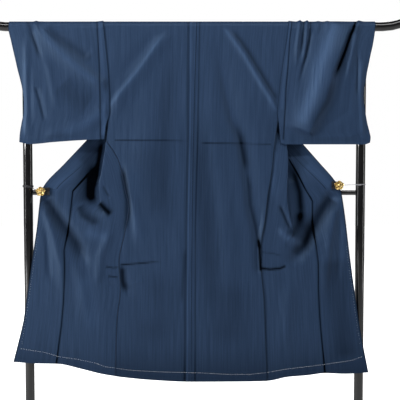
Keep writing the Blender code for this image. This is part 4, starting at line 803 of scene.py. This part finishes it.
def front_lines(side, down):
    """Section points of the front, and the two seams and free edge beyond them."""
    back_out, back_y = read_line(BACK_SIDE[side], down, 1), read_line(BACK_SIDE[side], down, 2)
    above = np.stack((back_out, read_line(FRONT_SEAM_Y, down)), axis=1)
    below = np.stack((back_out - LAP, back_y + 0.29), axis=1)
    seam = np.where((down <= ARMPIT_DOWN)[:, None], above, below)
    tables = (ARMPIT_FOLD, ROLL_LINE, POCKET_BACK, LIP, FREE_EDGE)
    fold, roll, pocket, lip, edge = (line_pair(table[side], down) for table in tables)
    leg = np.linalg.norm(roll - fold, axis=1)
    bulb = toward(fold, roll, np.minimum(1.2, 0.4 * leg))
    bulb[:, 1] += np.minimum(0.9, 0.15 * leg) * read_line(FOLD_SHUT[side], down)
    fold_room, roll_room = turn_room(seam, fold, bulb), turn_room(bulb, roll, pocket)
    seam_leg = np.linalg.norm(seam - fold, axis=1)
    roll_leg = np.linalg.norm(roll - bulb, axis=1)
    front = [seam, toward(fold, seam, 0.5 * (fold_room + seam_leg)), toward(fold, seam, fold_room), fold, bulb]
    front += [toward(roll, bulb, 0.5 * (roll_room + roll_leg)), toward(roll, bulb, roll_room), roll, pocket]
    front += [0.5 * (pocket + lip), lip]

    def on_taut_cloth(out):
        away = np.abs(out - lip[:, 0])
        part = away / np.maximum(np.maximum(np.abs(edge[:, 0] - lip[:, 0]), away), 0.1)
        part = np.where(down > 12.0, np.minimum(0.9, part), 0.1)
        return np.stack((out, lip[:, 1] + (edge[:, 1] - lip[:, 1]) * part), axis=1)

    collar_seam = on_taut_cloth(edge[:, 0] - read_line(COLLAR_RUN, down))
    okumi_seam = on_taut_cloth(read_line(OKUMI_SEAM[side], down))
    return front, lip, okumi_seam, collar_seam, edge


def lay_front(points, down, side, columns, ease_edge):
    """Round a folded section off and carry it to its place in metres."""
    section = soft_section(np.stack(points, axis=1), columns)
    x = SIDES[side] * section[:, :, 0]
    y = wrap_y(down[:, None], 1.0, section[:, :, 1])
    return to_metres(x, y, hem_down(x, down[:, None]) + 0.0 * y)


# %% Front panels
FRONT_COLUMNS, OKUMI_COLUMNS, COLLAR_COLUMNS = 130, 36, 22
for side, sign in SIDES.items():
    front, lip, okumi_seam, collar_seam, edge = front_lines(side, rows_down)
    has_okumi = rows_down >= KENSAKI_DOWN
    has_collar = rows_down <= COLLAR_END
    front_end = np.where(has_okumi[:, None], okumi_seam, collar_seam)
    front = front + [0.5 * (lip + front_end), front_end]
    grids = {"front": lay_front(front, rows_down, side, FRONT_COLUMNS, True)}
    okumi_end = np.where(has_collar[:, None], collar_seam, edge)
    okumi = [okumi_seam + (okumi_end - okumi_seam) * part for part in (0.0, 0.33, 0.67, 1.0)]
    grids["okumi"] = lay_front([p[has_okumi] for p in okumi], rows_down[has_okumi], side, OKUMI_COLUMNS, False)
    collar = [collar_seam + (edge - collar_seam) * part for part in (0.0, 0.33, 0.67, 1.0)]
    collar_rows = rows_down <= COLLAR_END + ROW_STEP
    grids["collar"] = lay_front([p[collar_rows] for p in collar], rows_down[collar_rows], side, COLLAR_COLUMNS, False)
    for piece, grid in grids.items():
        face = sign if piece == "front" else sign
        normal = outward(grid) * face
        x, down_here = grid[:, :, 0] / CM, (SHOULDER_Z - grid[:, :, 2]) / CM
        seen = ramp(-normal[:, :, 1], 0.15, 0.6)
        near_seam = 1.0
        if piece == "front":
            run = np.linspace(0.0, 1.0, FRONT_COLUMNS)[None, :]
            near_seam = ramp(run, 0.0, 0.06)
        rows = FOLDS["front_" + side]
        relief = fold_height(rows, x, down_here) * seen * ramp(down_here, 60.0, 70.0)
        # Painted shade and painted highlight from the front's "line" rows, faded out on faces that turn away from the
        # camera and above 40 cm down.
        shade = fold_height(rows, x, down_here, ("line",)) * ramp(-normal[:, :, 1], -0.1, 0.3)
        shade = shade * ramp(down_here, 40.0, 44.0)
        relief = relief + slack(x, down_here, 5 if side == "left" else 7, 0.03) * ramp(down_here, 3.0, 9.0)
        grid = grid + normal * (relief * near_seam)[:, :, None] * CM
        if piece != "okumi":
            grid[0, :, 1] = 0.0
        if piece == "collar":
            grid[-1] -= normal[-1] * SEAM_DROP
        if piece != "front":
            grid, shade = tuck_under(grid, face, near=True, shade=shade)
        nodes = [piece + "_" + side]
        if piece == "front":
            nodes = [nodes[0] + "_upper", nodes[0] + "_lower"]
        make_panel("silk_" + piece + "_" + side, grid, nodes, side == "right", silk, shade)

# %% [markdown]
# ## The sleeves
# A man's sleeve is a deep, flat bag: one length of cloth folded at the shoulder, sewn to the
# body for most of its height and closed below the hand. The rear layer passes inside the
# upright and comes round in front of it, and the layer that faces us lies over both.

# %% Sleeves
SLEEVE_COLUMNS = {"back": 130, "front": 60}
SLEEVE_NOMINAL = 48.0
sleeve_rows = np.array(top_rows + list(np.arange(2.4, SLEEVE_NOMINAL, 0.4)) + [SLEEVE_NOMINAL])
for side, sign in SIDES.items():
    for layer, face in (("back", -1.0), ("front", 1.0)):
        down = sleeve_rows
        share = finer_at_ends(SLEEVE_COLUMNS[layer])
        inner_out = read_line(SLEEVE_INNER[side], down, 1)
        cuff = CUFF[side] if layer == "back" else REAR_CUFF[side]
        cuff_out, cuff_y = read_line(cuff, down, 1), read_line(cuff, down, 2)
        column = 1 if layer == "back" else 2
        inner_y = read_line(SLEEVE_INNER[side], down, 2)
        if layer == "front":
            inner_y = read_line(SLEEVE_INNER_REAR_Y, down)
        belly, shin = read_line(SLEEVE_BELLY, down, column), read_line(SLEEVE_SHIN, down, column)
        y = np.empty((len(down), len(share)))
        for k in range(len(down)):
            section = ((0.0, inner_y[k]), (0.10, 0.7 * inner_y[k] + 0.3 * belly[k]), (0.5, belly[k]),
                       (0.86, shin[k]), (1.0, cuff_y[k]))
            y[k] = read_line(section, share)
        deep = down[:, None] + 0.0 * y
        x = sign * (inner_out[:, None] + (cuff_out - inner_out)[:, None] * share[None, :])
        edge = np.minimum(1.0, share / 0.05) * np.minimum(1.0, (1.0 - share) / 0.04)
        fold = edge[None, :] * fold_height(FOLDS["sleeve_" + side], x, deep)
        if layer == "front":
            fold = np.clip(fold, 0.0, None) * np.clip(1.0 - deep / 6.0, 0.0, None)
        fold = fold * np.clip((SLEEVE_NOMINAL - deep) / 3.0, 0.0, 1.0)
        fold = fold + edge[None, :] * slack(x, deep, 11, 0.03) * ramp(deep, 3.0, 9.0)
        fold = np.where(fold < 0.0, fold * ramp(deep, 2.8, 6.0), fold)
        lap = 0.29 * np.clip(1.0 - share / 0.08, 0.0, None)[None, :]
        lift = np.maximum(np.clip(fold, 0.0, None), lap)
        y = np.where(deep < 2.3, face * (WRAP + lift), y + face * fold)
        deep = deep - lift * np.clip(1.0 - deep / 2.5, 0.0, None)
        y = wrap_y(deep, face, y, lift)
        stretch = read_line(SLEEVE_BOTTOM[side], share)[None, :] - SLEEVE_NOMINAL
        deep = deep + stretch * np.clip((down[:, None] - 22.0) / 26.0, 0.0, None) ** 1.5
        grid = to_metres(x, y, deep)
        flip = (side == "left") != (layer == "back")
        # Painted shade and painted highlight from the sleeve's "line" rows, on the layer that faces the camera only.
        shade = fold_height(FOLDS["sleeve_" + side], x, deep, ("line",)) * (layer == "back")
        nodes = ["sleeve_" + side + "_" + layer]
        make_panel("silk_sleeve_" + side + "_" + layer, grid, nodes, flip, silk, shade)

# %% [markdown]
# ## Silk
# Plain dyed silk is a fine warp-faced weave. It is dark where we look straight at it and
# paler where it turns away, which the sheen gives. Fine streaks run down each length of
# cloth, because no two warp threads take the dye quite alike.

# %% Silk material
def node_at(tree, kind, place, **settings):
    made = tree.nodes.new(kind)
    made.location = place
    for key, value in settings.items():
        setattr(made, key, value)
    return made


silk.use_nodes = True
tree = silk.node_tree
shader = tree.nodes["Principled BSDF"]
shader.inputs["Roughness"].default_value = 0.58
shader.inputs["Specular Tint"].default_value = (0.48, 0.72, 1.0, 1.0)
shader.inputs["Sheen Weight"].default_value = 0.03
shader.inputs["Sheen Roughness"].default_value = 0.4
shader.inputs["Sheen Tint"].default_value = (0.45, 0.62, 0.95, 1.0)
cloth_map = node_at(tree, "ShaderNodeUVMap", (-1100, 0), uv_map="cloth")
stretch_map = node_at(tree, "ShaderNodeMapping", (-900, 0))
stretch_map.inputs["Scale"].default_value = (210.0, 5.0, 1.0)
streaks = node_at(tree, "ShaderNodeTexNoise", (-700, 0))
streaks.inputs["Scale"].default_value = 1.0
streaks.inputs["Detail"].default_value = 3.0
dye = node_at(tree, "ShaderNodeValToRGB", (-480, 0))
dye.color_ramp.elements[0].position = 0.3
dye.color_ramp.elements[0].color = (0.0076, 0.0190, 0.0485, 1.0)
dye.color_ramp.elements[1].position = 0.7
dye.color_ramp.elements[1].color = (0.0150, 0.0310, 0.0710, 1.0)
tree.links.new(cloth_map.outputs["UV"], stretch_map.inputs["Vector"])
tree.links.new(stretch_map.outputs["Vector"], streaks.inputs["Vector"])
tree.links.new(streaks.outputs["Fac"], dye.inputs["Fac"])
# Painted shade: the panel's "shade" attribute darkens the dye and lowers the specular level; where it is below zero it
# lightens both, a painted highlight.
shade_mark = node_at(tree, "ShaderNodeAttribute", (-700, -320), attribute_name="shade")
left_over = node_at(tree, "ShaderNodeMath", (-480, -320), operation="SUBTRACT")
left_over.inputs[0].default_value = 1.0
keep = node_at(tree, "ShaderNodeMath", (-350, -320), operation="MAXIMUM")
keep.inputs[1].default_value = 0.02
tree.links.new(left_over.outputs["Value"], keep.inputs[0])
gloss = node_at(tree, "ShaderNodeMath", (-220, -420), operation="MULTIPLY")
gloss.inputs[1].default_value = 0.40
tree.links.new(keep.outputs["Value"], gloss.inputs[0])
tree.links.new(gloss.outputs["Value"], shader.inputs["Specular IOR Level"])
shaded = node_at(tree, "ShaderNodeVectorMath", (-220, 0), operation="SCALE")
tree.links.new(shade_mark.outputs["Fac"], left_over.inputs[1])
tree.links.new(keep.outputs["Value"], shaded.inputs["Scale"])
tree.links.new(dye.outputs["Color"], shaded.inputs[0])
tree.links.new(shaded.outputs["Vector"], shader.inputs["Base Color"])

# The weave: fine threads across and down, and slubs that run with the streaks.
threads = node_at(tree, "ShaderNodeTexWave", (-700, -560), bands_direction="X")
threads.inputs["Scale"].default_value = 420.0
threads.inputs["Distortion"].default_value = 1.2
threads.inputs["Detail"].default_value = 1.0
tree.links.new(cloth_map.outputs["UV"], threads.inputs["Vector"])
pucker_map = node_at(tree, "ShaderNodeMapping", (-900, -760))
pucker_map.inputs["Scale"].default_value = (44.0, 11.0, 1.0)
pucker = node_at(tree, "ShaderNodeTexNoise", (-700, -760))
pucker.inputs["Scale"].default_value = 1.0
pucker.inputs["Detail"].default_value = 2.0
tree.links.new(cloth_map.outputs["UV"], pucker_map.inputs["Vector"])
tree.links.new(pucker_map.outputs["Vector"], pucker.inputs["Vector"])
weave_bump = node_at(tree, "ShaderNodeBump", (-300, -600))
weave_bump.inputs["Strength"].default_value = 0.25
weave_bump.inputs["Distance"].default_value = 0.0002
tree.links.new(threads.outputs["Fac"], weave_bump.inputs["Height"])
pucker_bump = node_at(tree, "ShaderNodeBump", (-120, -600))
pucker_bump.inputs["Strength"].default_value = 0.6
pucker_bump.inputs["Distance"].default_value = 0.0032
tree.links.new(pucker.outputs["Fac"], pucker_bump.inputs["Height"])
tree.links.new(weave_bump.outputs["Normal"], pucker_bump.inputs["Normal"])
tree.links.new(pucker_bump.outputs["Normal"], shader.inputs["Normal"])
print("silk nodes:", len(tree.nodes))

# The inner face of the cloth has the same weave, without the outside's painted seam and fold shades. With the
# attribute unlinked, the subtraction keeps its default of 0.5, so the inner face's dye and gloss are halved: an even
# painted shade.
inside = silk.copy()
inside.name = "navy_silk_inside"
for link in list(inside.node_tree.links):
    if link.from_node.bl_idname == "ShaderNodeAttribute":
        inside.node_tree.links.remove(link)
for panel in [o for o in bpy.data.objects if o.name.startswith("silk_")]:
    panel.data.materials.append(inside)
    panel.modifiers["silk_thickness"].material_offset = 1

# %% [markdown]
# ## Shared surface effects
# Two effects are used by several materials, so each is a node group with named sockets.
# "Fine wear" gives a mask of rubbed and dusty places, and "thread twist" the slanting ply
# of a cord. A group gives out only masks and heights; each material keeps its own shader.

# %% Node groups
def new_group(name, sockets_in, sockets_out):
    group = bpy.data.node_groups.new(name, "ShaderNodeTree")
    for title, kind, value in sockets_in:
        socket = group.interface.new_socket(name=title, in_out="INPUT", socket_type=kind)
        if value is not None:
            socket.default_value = value
    for title, kind in sockets_out:
        group.interface.new_socket(name=title, in_out="OUTPUT", socket_type=kind)
    start = node_at(group, "NodeGroupInput", (-800, 0))
    end = node_at(group, "NodeGroupOutput", (400, 0))
    return group, start, end


fine_wear, wear_in, wear_out = new_group(
    "fine_wear", (("Vector", "NodeSocketVector", None), ("Scale", "NodeSocketFloat", 30.0)),
    (("Mask", "NodeSocketFloat"), ("Height", "NodeSocketFloat")))
cloud = node_at(fine_wear, "ShaderNodeTexNoise", (-560, 120))
cloud.inputs["Detail"].default_value = 6.0
cloud.inputs["Roughness"].default_value = 0.65
worn = node_at(fine_wear, "ShaderNodeMapRange", (-300, 120))
worn.inputs["From Min"].default_value = 0.42
worn.inputs["From Max"].default_value = 0.72
specks = node_at(fine_wear, "ShaderNodeTexNoise", (-560, -160))
specks.inputs["Detail"].default_value = 2.0
finer = node_at(fine_wear, "ShaderNodeMath", (-720, -240), operation="MULTIPLY")
finer.inputs[1].default_value = 9.0
fine_wear.links.new(wear_in.outputs["Vector"], cloud.inputs["Vector"])
fine_wear.links.new(wear_in.outputs["Scale"], cloud.inputs["Scale"])
fine_wear.links.new(wear_in.outputs["Scale"], finer.inputs[0])
fine_wear.links.new(wear_in.outputs["Vector"], specks.inputs["Vector"])
fine_wear.links.new(finer.outputs["Value"], specks.inputs["Scale"])
fine_wear.links.new(cloud.outputs["Fac"], worn.inputs["Value"])
fine_wear.links.new(worn.outputs["Result"], wear_out.inputs["Mask"])
fine_wear.links.new(specks.outputs["Fac"], wear_out.inputs["Height"])

thread_twist, twist_in, twist_out = new_group(
    "thread_twist", (("Vector", "NodeSocketVector", None), ("Scale", "NodeSocketFloat", 500.0)),
    (("Mask", "NodeSocketFloat"), ("Height", "NodeSocketFloat")))
ply = node_at(thread_twist, "ShaderNodeTexWave", (-500, 0), bands_direction="DIAGONAL")
ply.inputs["Distortion"].default_value = 1.5
ply.inputs["Detail"].default_value = 1.0
thread_twist.links.new(twist_in.outputs["Vector"], ply.inputs["Vector"])
thread_twist.links.new(twist_in.outputs["Scale"], ply.inputs["Scale"])
thread_twist.links.new(ply.outputs["Fac"], twist_out.inputs["Mask"])
thread_twist.links.new(ply.outputs["Fac"], twist_out.inputs["Height"])
print("groups:", [group.name for group in (fine_wear, thread_twist)])

# %% [markdown]
# ## Lacquer, gilt brass, clip enamel and cord
# Each finish mixes two colours and two roughnesses by the mask of a group, and its bump
# comes from the group's height. Lacquer gets a clear coat, which makes the long highlights.

# %% Finishes of the stand and clips
def finish_of(name, group, scale, plain, rubbed, roughness, bump, **constants):
    made = bpy.data.materials.new(name)
    made.use_nodes = True
    tree = made.node_tree
    shader = tree.nodes["Principled BSDF"]
    for title, value in constants.items():
        shader.inputs[title.replace("_", " ")].default_value = value
    place = node_at(tree, "ShaderNodeTexCoord", (-1000, 0))
    effect = node_at(tree, "ShaderNodeGroup", (-800, 0), node_tree=group)
    effect.inputs["Scale"].default_value = scale
    blend = node_at(tree, "ShaderNodeMix", (-500, 120), data_type="RGBA")
    blend.inputs["A"].default_value = (*plain, 1.0)
    blend.inputs["B"].default_value = (*rubbed, 1.0)
    dull = node_at(tree, "ShaderNodeMapRange", (-500, -140))
    dull.inputs["To Min"].default_value, dull.inputs["To Max"].default_value = roughness
    raised = node_at(tree, "ShaderNodeBump", (-300, -340))
    raised.inputs["Strength"].default_value = 0.4
    raised.inputs["Distance"].default_value = bump
    tree.links.new(place.outputs["Object"], effect.inputs["Vector"])
    tree.links.new(effect.outputs["Mask"], blend.inputs["Factor"])
    tree.links.new(effect.outputs["Mask"], dull.inputs["Value"])
    tree.links.new(effect.outputs["Height"], raised.inputs["Height"])
    tree.links.new(blend.outputs["Result"], shader.inputs["Base Color"])
    tree.links.new(dull.outputs["Result"], shader.inputs["Roughness"])
    tree.links.new(raised.outputs["Normal"], shader.inputs["Normal"])
    return made


lacquer = finish_of("black_lacquer", fine_wear, 14.0, (0.0025, 0.0025, 0.003), (0.006, 0.006, 0.0065), (0.05, 0.10),
                    0.00001, Coat_Weight=0.3, Coat_Roughness=0.03)
brass = finish_of("gilt_brass", fine_wear, 160.0, (0.80, 0.62, 0.28), (0.30, 0.20, 0.07), (0.24, 0.42),
                  0.0001, Metallic=1.0)
enamel = finish_of("black_clip", fine_wear, 60.0, (0.006, 0.006, 0.007), (0.020, 0.020, 0.022), (0.25, 0.42), 0.00004)
black_cord = finish_of("black_cord", thread_twist, 420.0, (0.006, 0.006, 0.008), (0.030, 0.030, 0.034), (0.6, 0.75),
                       0.0002)
grey_cord = finish_of("grey_cord", thread_twist, 620.0, (0.20, 0.20, 0.22), (0.42, 0.42, 0.45), (0.55, 0.7), 0.0001)
basting = finish_of("basting_thread", thread_twist, 900.0, (0.50, 0.55, 0.62), (0.74, 0.77, 0.82), (0.6, 0.75), 0.0001)
FINISHES = {"stand_": lacquer, "clip_left_jaw": enamel, "clip_right_jaw": enamel}
CREASE_DEGREES = 34.0


def polish(name, node, start):
    """A copy of a solid with its corners joined, so that light runs smoothly over the round parts."""
    bm = bmesh.new()
    bm.from_mesh(node.data)
    bmesh.ops.transform(bm, matrix=node.matrix_world, verts=bm.verts[:])
    bmesh.ops.remove_doubles(bm, verts=bm.verts[:], dist=1e-6)
    bmesh.ops.recalc_face_normals(bm, faces=bm.faces[:])
    for edge in bm.edges:
        edge.smooth = edge.calc_face_angle(math.pi) < math.radians(CREASE_DEGREES)
    mesh = bpy.data.meshes.new("smooth_" + name)
    bm.to_mesh(mesh)
    bm.free()
    mesh.shade_smooth()
    mesh.materials.append(FINISHES[start])
    made = bpy.data.objects.new("smooth_" + name, mesh)
    bpy.context.scene.collection.objects.link(made)
    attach(made, "root")
    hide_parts(name)
    return made


polished = []
for name, node in list(frame["nodes"].items()):
    for start in FINISHES:
        if name.startswith(start):
            polished.append(polish(name, node, start))
print("smooth copies:", len(polished))

# %% [markdown]
# ## The clip cords
# A short cord ties each clip to its upright: it leaves the jaw, runs across and is wound
# round the upright. It is a curve with a round bevel, on the same route as its solid.

# %% Cords
# Down of the clip and of the cord, its radius, its windings, its finish and its slot.
CORDS = {"left": (66.6, 64.3, 0.00125, 3, black_cord, "black_cord"),
         "right": (64.2, 63.8, 0.00075, 2, grey_cord, "grey_cord")}
CORD_STEPS = 14
CLOTH_WALL = 0.0020
UPRIGHT_X, UPRIGHT_RADIUS = 0.6580, 0.0185

for side, (clip_down, cord_down, radius, loops, finish, slot_name) in CORDS.items():
    sign = SIDES[side]
    jaw_out = float(read_line(FREE_EDGE[side], clip_down + 1.5, 1)) * CM + 0.0020 + 0.0030 + 0.0003
    cord_y = float(read_line(FREE_EDGE[side], clip_down, 2)) * CM + 0.5 * CLOTH_WALL
    clip_z = SHOULDER_Z - clip_down * CM
    route = [(sign * jaw_out, cord_y, clip_z), (sign * (jaw_out + 0.0040), cord_y, clip_z)]
    ring = (UPRIGHT_RADIUS + radius + 0.0003) / math.cos(math.pi / CORD_STEPS)
    for step in range(loops * CORD_STEPS + 1):
        turn = -0.5 * math.pi + 2.0 * math.pi * step / CORD_STEPS
        drop = (2.0 * radius + 0.0005) * step / CORD_STEPS
        route.append((sign * (UPRIGHT_X + ring * math.cos(turn)), ring * math.sin(turn),
                      SHOULDER_Z - cord_down * CM - drop))
    curve = bpy.data.curves.new("cord_" + side, "CURVE")
    curve.dimensions = "3D"
    curve.bevel_depth = radius
    curve.bevel_resolution = 4
    curve.use_fill_caps = True
    line = curve.splines.new("POLY")
    line.points.add(len(route) - 1)
    for point, place in zip(line.points, route):
        point.co = (*place, 1.0)
    curve.materials.append(finish)
    cord = bpy.data.objects.new("cord_" + side, curve)
    bpy.context.scene.collection.objects.link(cord)
    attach(cord, "root")
    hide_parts("clip_" + side + "_cord")

# %% [markdown]
# ## The flower clips
# Each clip wears a small flower of gilt brass. A petal is one grid, pulled to a point and
# cupped; a ring of five lies over a ring of five that is turned by half a petal, and beads
# stand round a dome in the middle.

# %% Flowers
PETALS = 5
BEADS = 8


def add_petal(bm, turn, reach, half_width, lift, cup):
    """One pointed petal in the flower's own plane: x and z lie in it, and y points at the viewer."""
    made = bmesh.ops.create_grid(bm, x_segments=8, y_segments=6, size=0.5)
    for vertex in made["verts"]:
        along, across = vertex.co.x + 0.5, 2.0 * vertex.co.y
        wide = half_width * math.sin(math.pi * min(1.0, 0.12 + 0.88 * along)) ** 0.7
        out = reach * (0.12 + 0.88 * along)
        rise = lift + cup * along ** 2 + 0.22 * half_width * across ** 2 - 0.10 * half_width * (1.0 - abs(across))
        side = wide * across
        vertex.co = (out * math.cos(turn) - side * math.sin(turn), -rise,
                     out * math.sin(turn) + side * math.cos(turn))
    return made


def make_flower(side):
    low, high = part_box("clip_" + side + "_blossom")
    middle = Vector(((low[0] + high[0]) / 2, high[1], (low[2] + high[2]) / 2))
    radius = 1.10 * (high[0] - low[0]) / 2
    depth = high[1] - low[1]
    bm = bmesh.new()
    for ring, (share, lift, cup) in enumerate(((1.0, 0.10, 0.42), (0.68, 0.34, 0.36))):
        for k in range(PETALS):
            turn = math.pi / 2 + 2.0 * math.pi * (k + 0.5 * ring) / PETALS
            add_petal(bm, turn, radius * share, 0.52 * radius * share, lift * depth, cup * depth)
    dome = bmesh.ops.create_uvsphere(bm, u_segments=16, v_segments=10, radius=0.24 * radius)
    bmesh.ops.translate(bm, vec=(0.0, -0.60 * depth, 0.0), verts=dome["verts"])
    for k in range(BEADS):
        turn = 2.0 * math.pi * k / BEADS
        bead = bmesh.ops.create_icosphere(bm, subdivisions=1, radius=0.07 * radius)
        spot = (0.33 * radius * math.cos(turn), -0.62 * depth, 0.33 * radius * math.sin(turn))
        bmesh.ops.translate(bm, vec=spot, verts=bead["verts"])
    back = bmesh.ops.create_cone(bm, cap_ends=True, segments=20, radius1=0.45 * radius, radius2=0.30 * radius,
                                 depth=0.30 * depth)
    bmesh.ops.rotate(bm, cent=(0.0, 0.0, 0.0), matrix=Matrix.Rotation(math.pi / 2, 3, "X"), verts=back["verts"])
    bmesh.ops.translate(bm, vec=(0.0, -0.15 * depth, 0.0), verts=back["verts"])
    bmesh.ops.translate(bm, vec=middle, verts=bm.verts[:])
    mesh = bpy.data.meshes.new("flower_" + side)
    bm.to_mesh(mesh)
    bm.free()
    mesh.shade_smooth()
    mesh.materials.append(brass)
    made = bpy.data.objects.new("flower_" + side, mesh)
    bpy.context.scene.collection.objects.link(made)
    wall = made.modifiers.new("petal_thickness", "SOLIDIFY")
    wall.thickness = 0.0005
    wall.offset = 0.0
    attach(made, "root")
    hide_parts("clip_" + side + "_blossom")
    return made


flowers = [make_flower(side) for side in SIDES]
print("flowers:", [(flower.name, len(flower.data.polygons)) for flower in flowers])

# %% [markdown]
# ## Basting stitches
# A new kimono still carries its basting: long pale stitches that hold the hem and the front
# edges flat. Each stitch is a tiny six-sided thread. A ray is sent from behind onto the silk
# to find where the cloth lies, so that every stitch rests on it.

# %% Stitches
STITCH = 0.0060
STITCH_STEP = 0.0092
DOT = 0.0016
DOT_STEP = 0.0105
THREAD_RADIUS = 0.00034
# Basting line above the hem: x, down.
HEM_BASTING = ((-68.8, 129.0), (-59.3, 130.5), (-53.5, 132.2), (-46.2, 133.2), (-39.2, 134.7), (-35.2, 136.2),
               (-26.2, 137.5), (-13.7, 138.2), (2.3, 138.6), (13.7, 139.2), (22.3, 139.2), (28.9, 138.5),
               (37.3, 137.0), (50.9, 135.4), (62.4, 133.7), (66.7, 132.2))
EDGE_INSET = 0.9
EDGE_BASTING_FROM = {"left": 84.0, "right": 88.0}

silk_trees = []
for panel in [o for o in bpy.data.objects if o.name.startswith("silk_")]:
    corners = [vertex.co.copy() for vertex in panel.data.vertices]
    faces = [tuple(face.vertices) for face in panel.data.polygons]
    silk_trees.append(BVHTree.FromPolygons(corners, faces))


def on_silk(x, down):
    """The nearest silk that a ray from behind meets, and the way it faces."""
    start = Vector((x * CM, -0.5, SHOULDER_Z - down * CM))
    found = None
    for tree in silk_trees:
        place, normal, _, distance = tree.ray_cast(start, Vector((0.0, 1.0, 0.0)))
        if place is not None and (found is None or distance < found[2]):
            found = (place, normal if normal.y < 0.0 else -normal, distance)
    return found


def even_places(points, step):
    """Places at an even step along a line of points, each with a little unevenness."""
    points = np.array(points, float)
    run = np.concatenate(([0.0], np.cumsum(np.linalg.norm(np.diff(points, axis=0), axis=1))))
    draw = random.Random(31)
    at = np.arange(0.5 * step, run[-1] - 0.5 * step, step)
    at = at + np.array([draw.uniform(-0.12, 0.12) * step for _ in at])
    return np.stack([np.interp(at, run, points[:, k]) for k in (0, 1)], axis=1)


def add_stitches(bm, points, length, step):
    """Threads of one length along a line, each lying on the silk."""
    count = 0
    for x, down in even_places(points, step / CM):
        here = on_silk(x, down)
        nearby = line_direction(points, x, down)
        ahead = on_silk(x + nearby[0] * 0.3, down + nearby[1] * 0.3)
        if here is None or ahead is None:
            continue
        way = ahead[0] - here[0]
        if way.length < 1e-5 or way.length > 0.008:
            continue
        turn = way.to_track_quat("Z", "Y").to_matrix().to_4x4()
        spot = Matrix.Translation(here[0] + here[1] * THREAD_RADIUS * 0.8)
        bmesh.ops.create_cone(bm, cap_ends=True, segments=6, radius1=THREAD_RADIUS, radius2=THREAD_RADIUS,
                              depth=length, matrix=spot @ turn)
        count += 1
    return count


def line_direction(points, x, down):
    """The direction of a line of points where it passes nearest to a place."""
    points = np.array(points, float)
    middle = 0.5 * (points[1:] + points[:-1])
    k = int(np.argmin(np.hypot(middle[:, 0] - x, middle[:, 1] - down)))
    way = points[k + 1] - points[k]
    return way / np.linalg.norm(way)


bm = bmesh.new()
hem_count = add_stitches(bm, HEM_BASTING, STITCH, STITCH_STEP)
edge_count = 0
for side, sign in SIDES.items():
    deep = np.arange(EDGE_BASTING_FROM[side], 130.0, 4.0)
    line = [(sign * (float(read_line(FREE_EDGE[side], d)) - EDGE_INSET), float(d)) for d in deep]
    edge_count += add_stitches(bm, line, DOT, DOT_STEP)
thread_mesh = bpy.data.meshes.new("basting_stitches")
bm.to_mesh(thread_mesh)
bm.free()
thread_mesh.materials.append(basting)
stitches = bpy.data.objects.new("basting_stitches", thread_mesh)
bpy.context.scene.collection.objects.link(stitches)
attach(stitches, "root")
print("stitches at the hem:", hem_count, "and at the front edges:", edge_count)
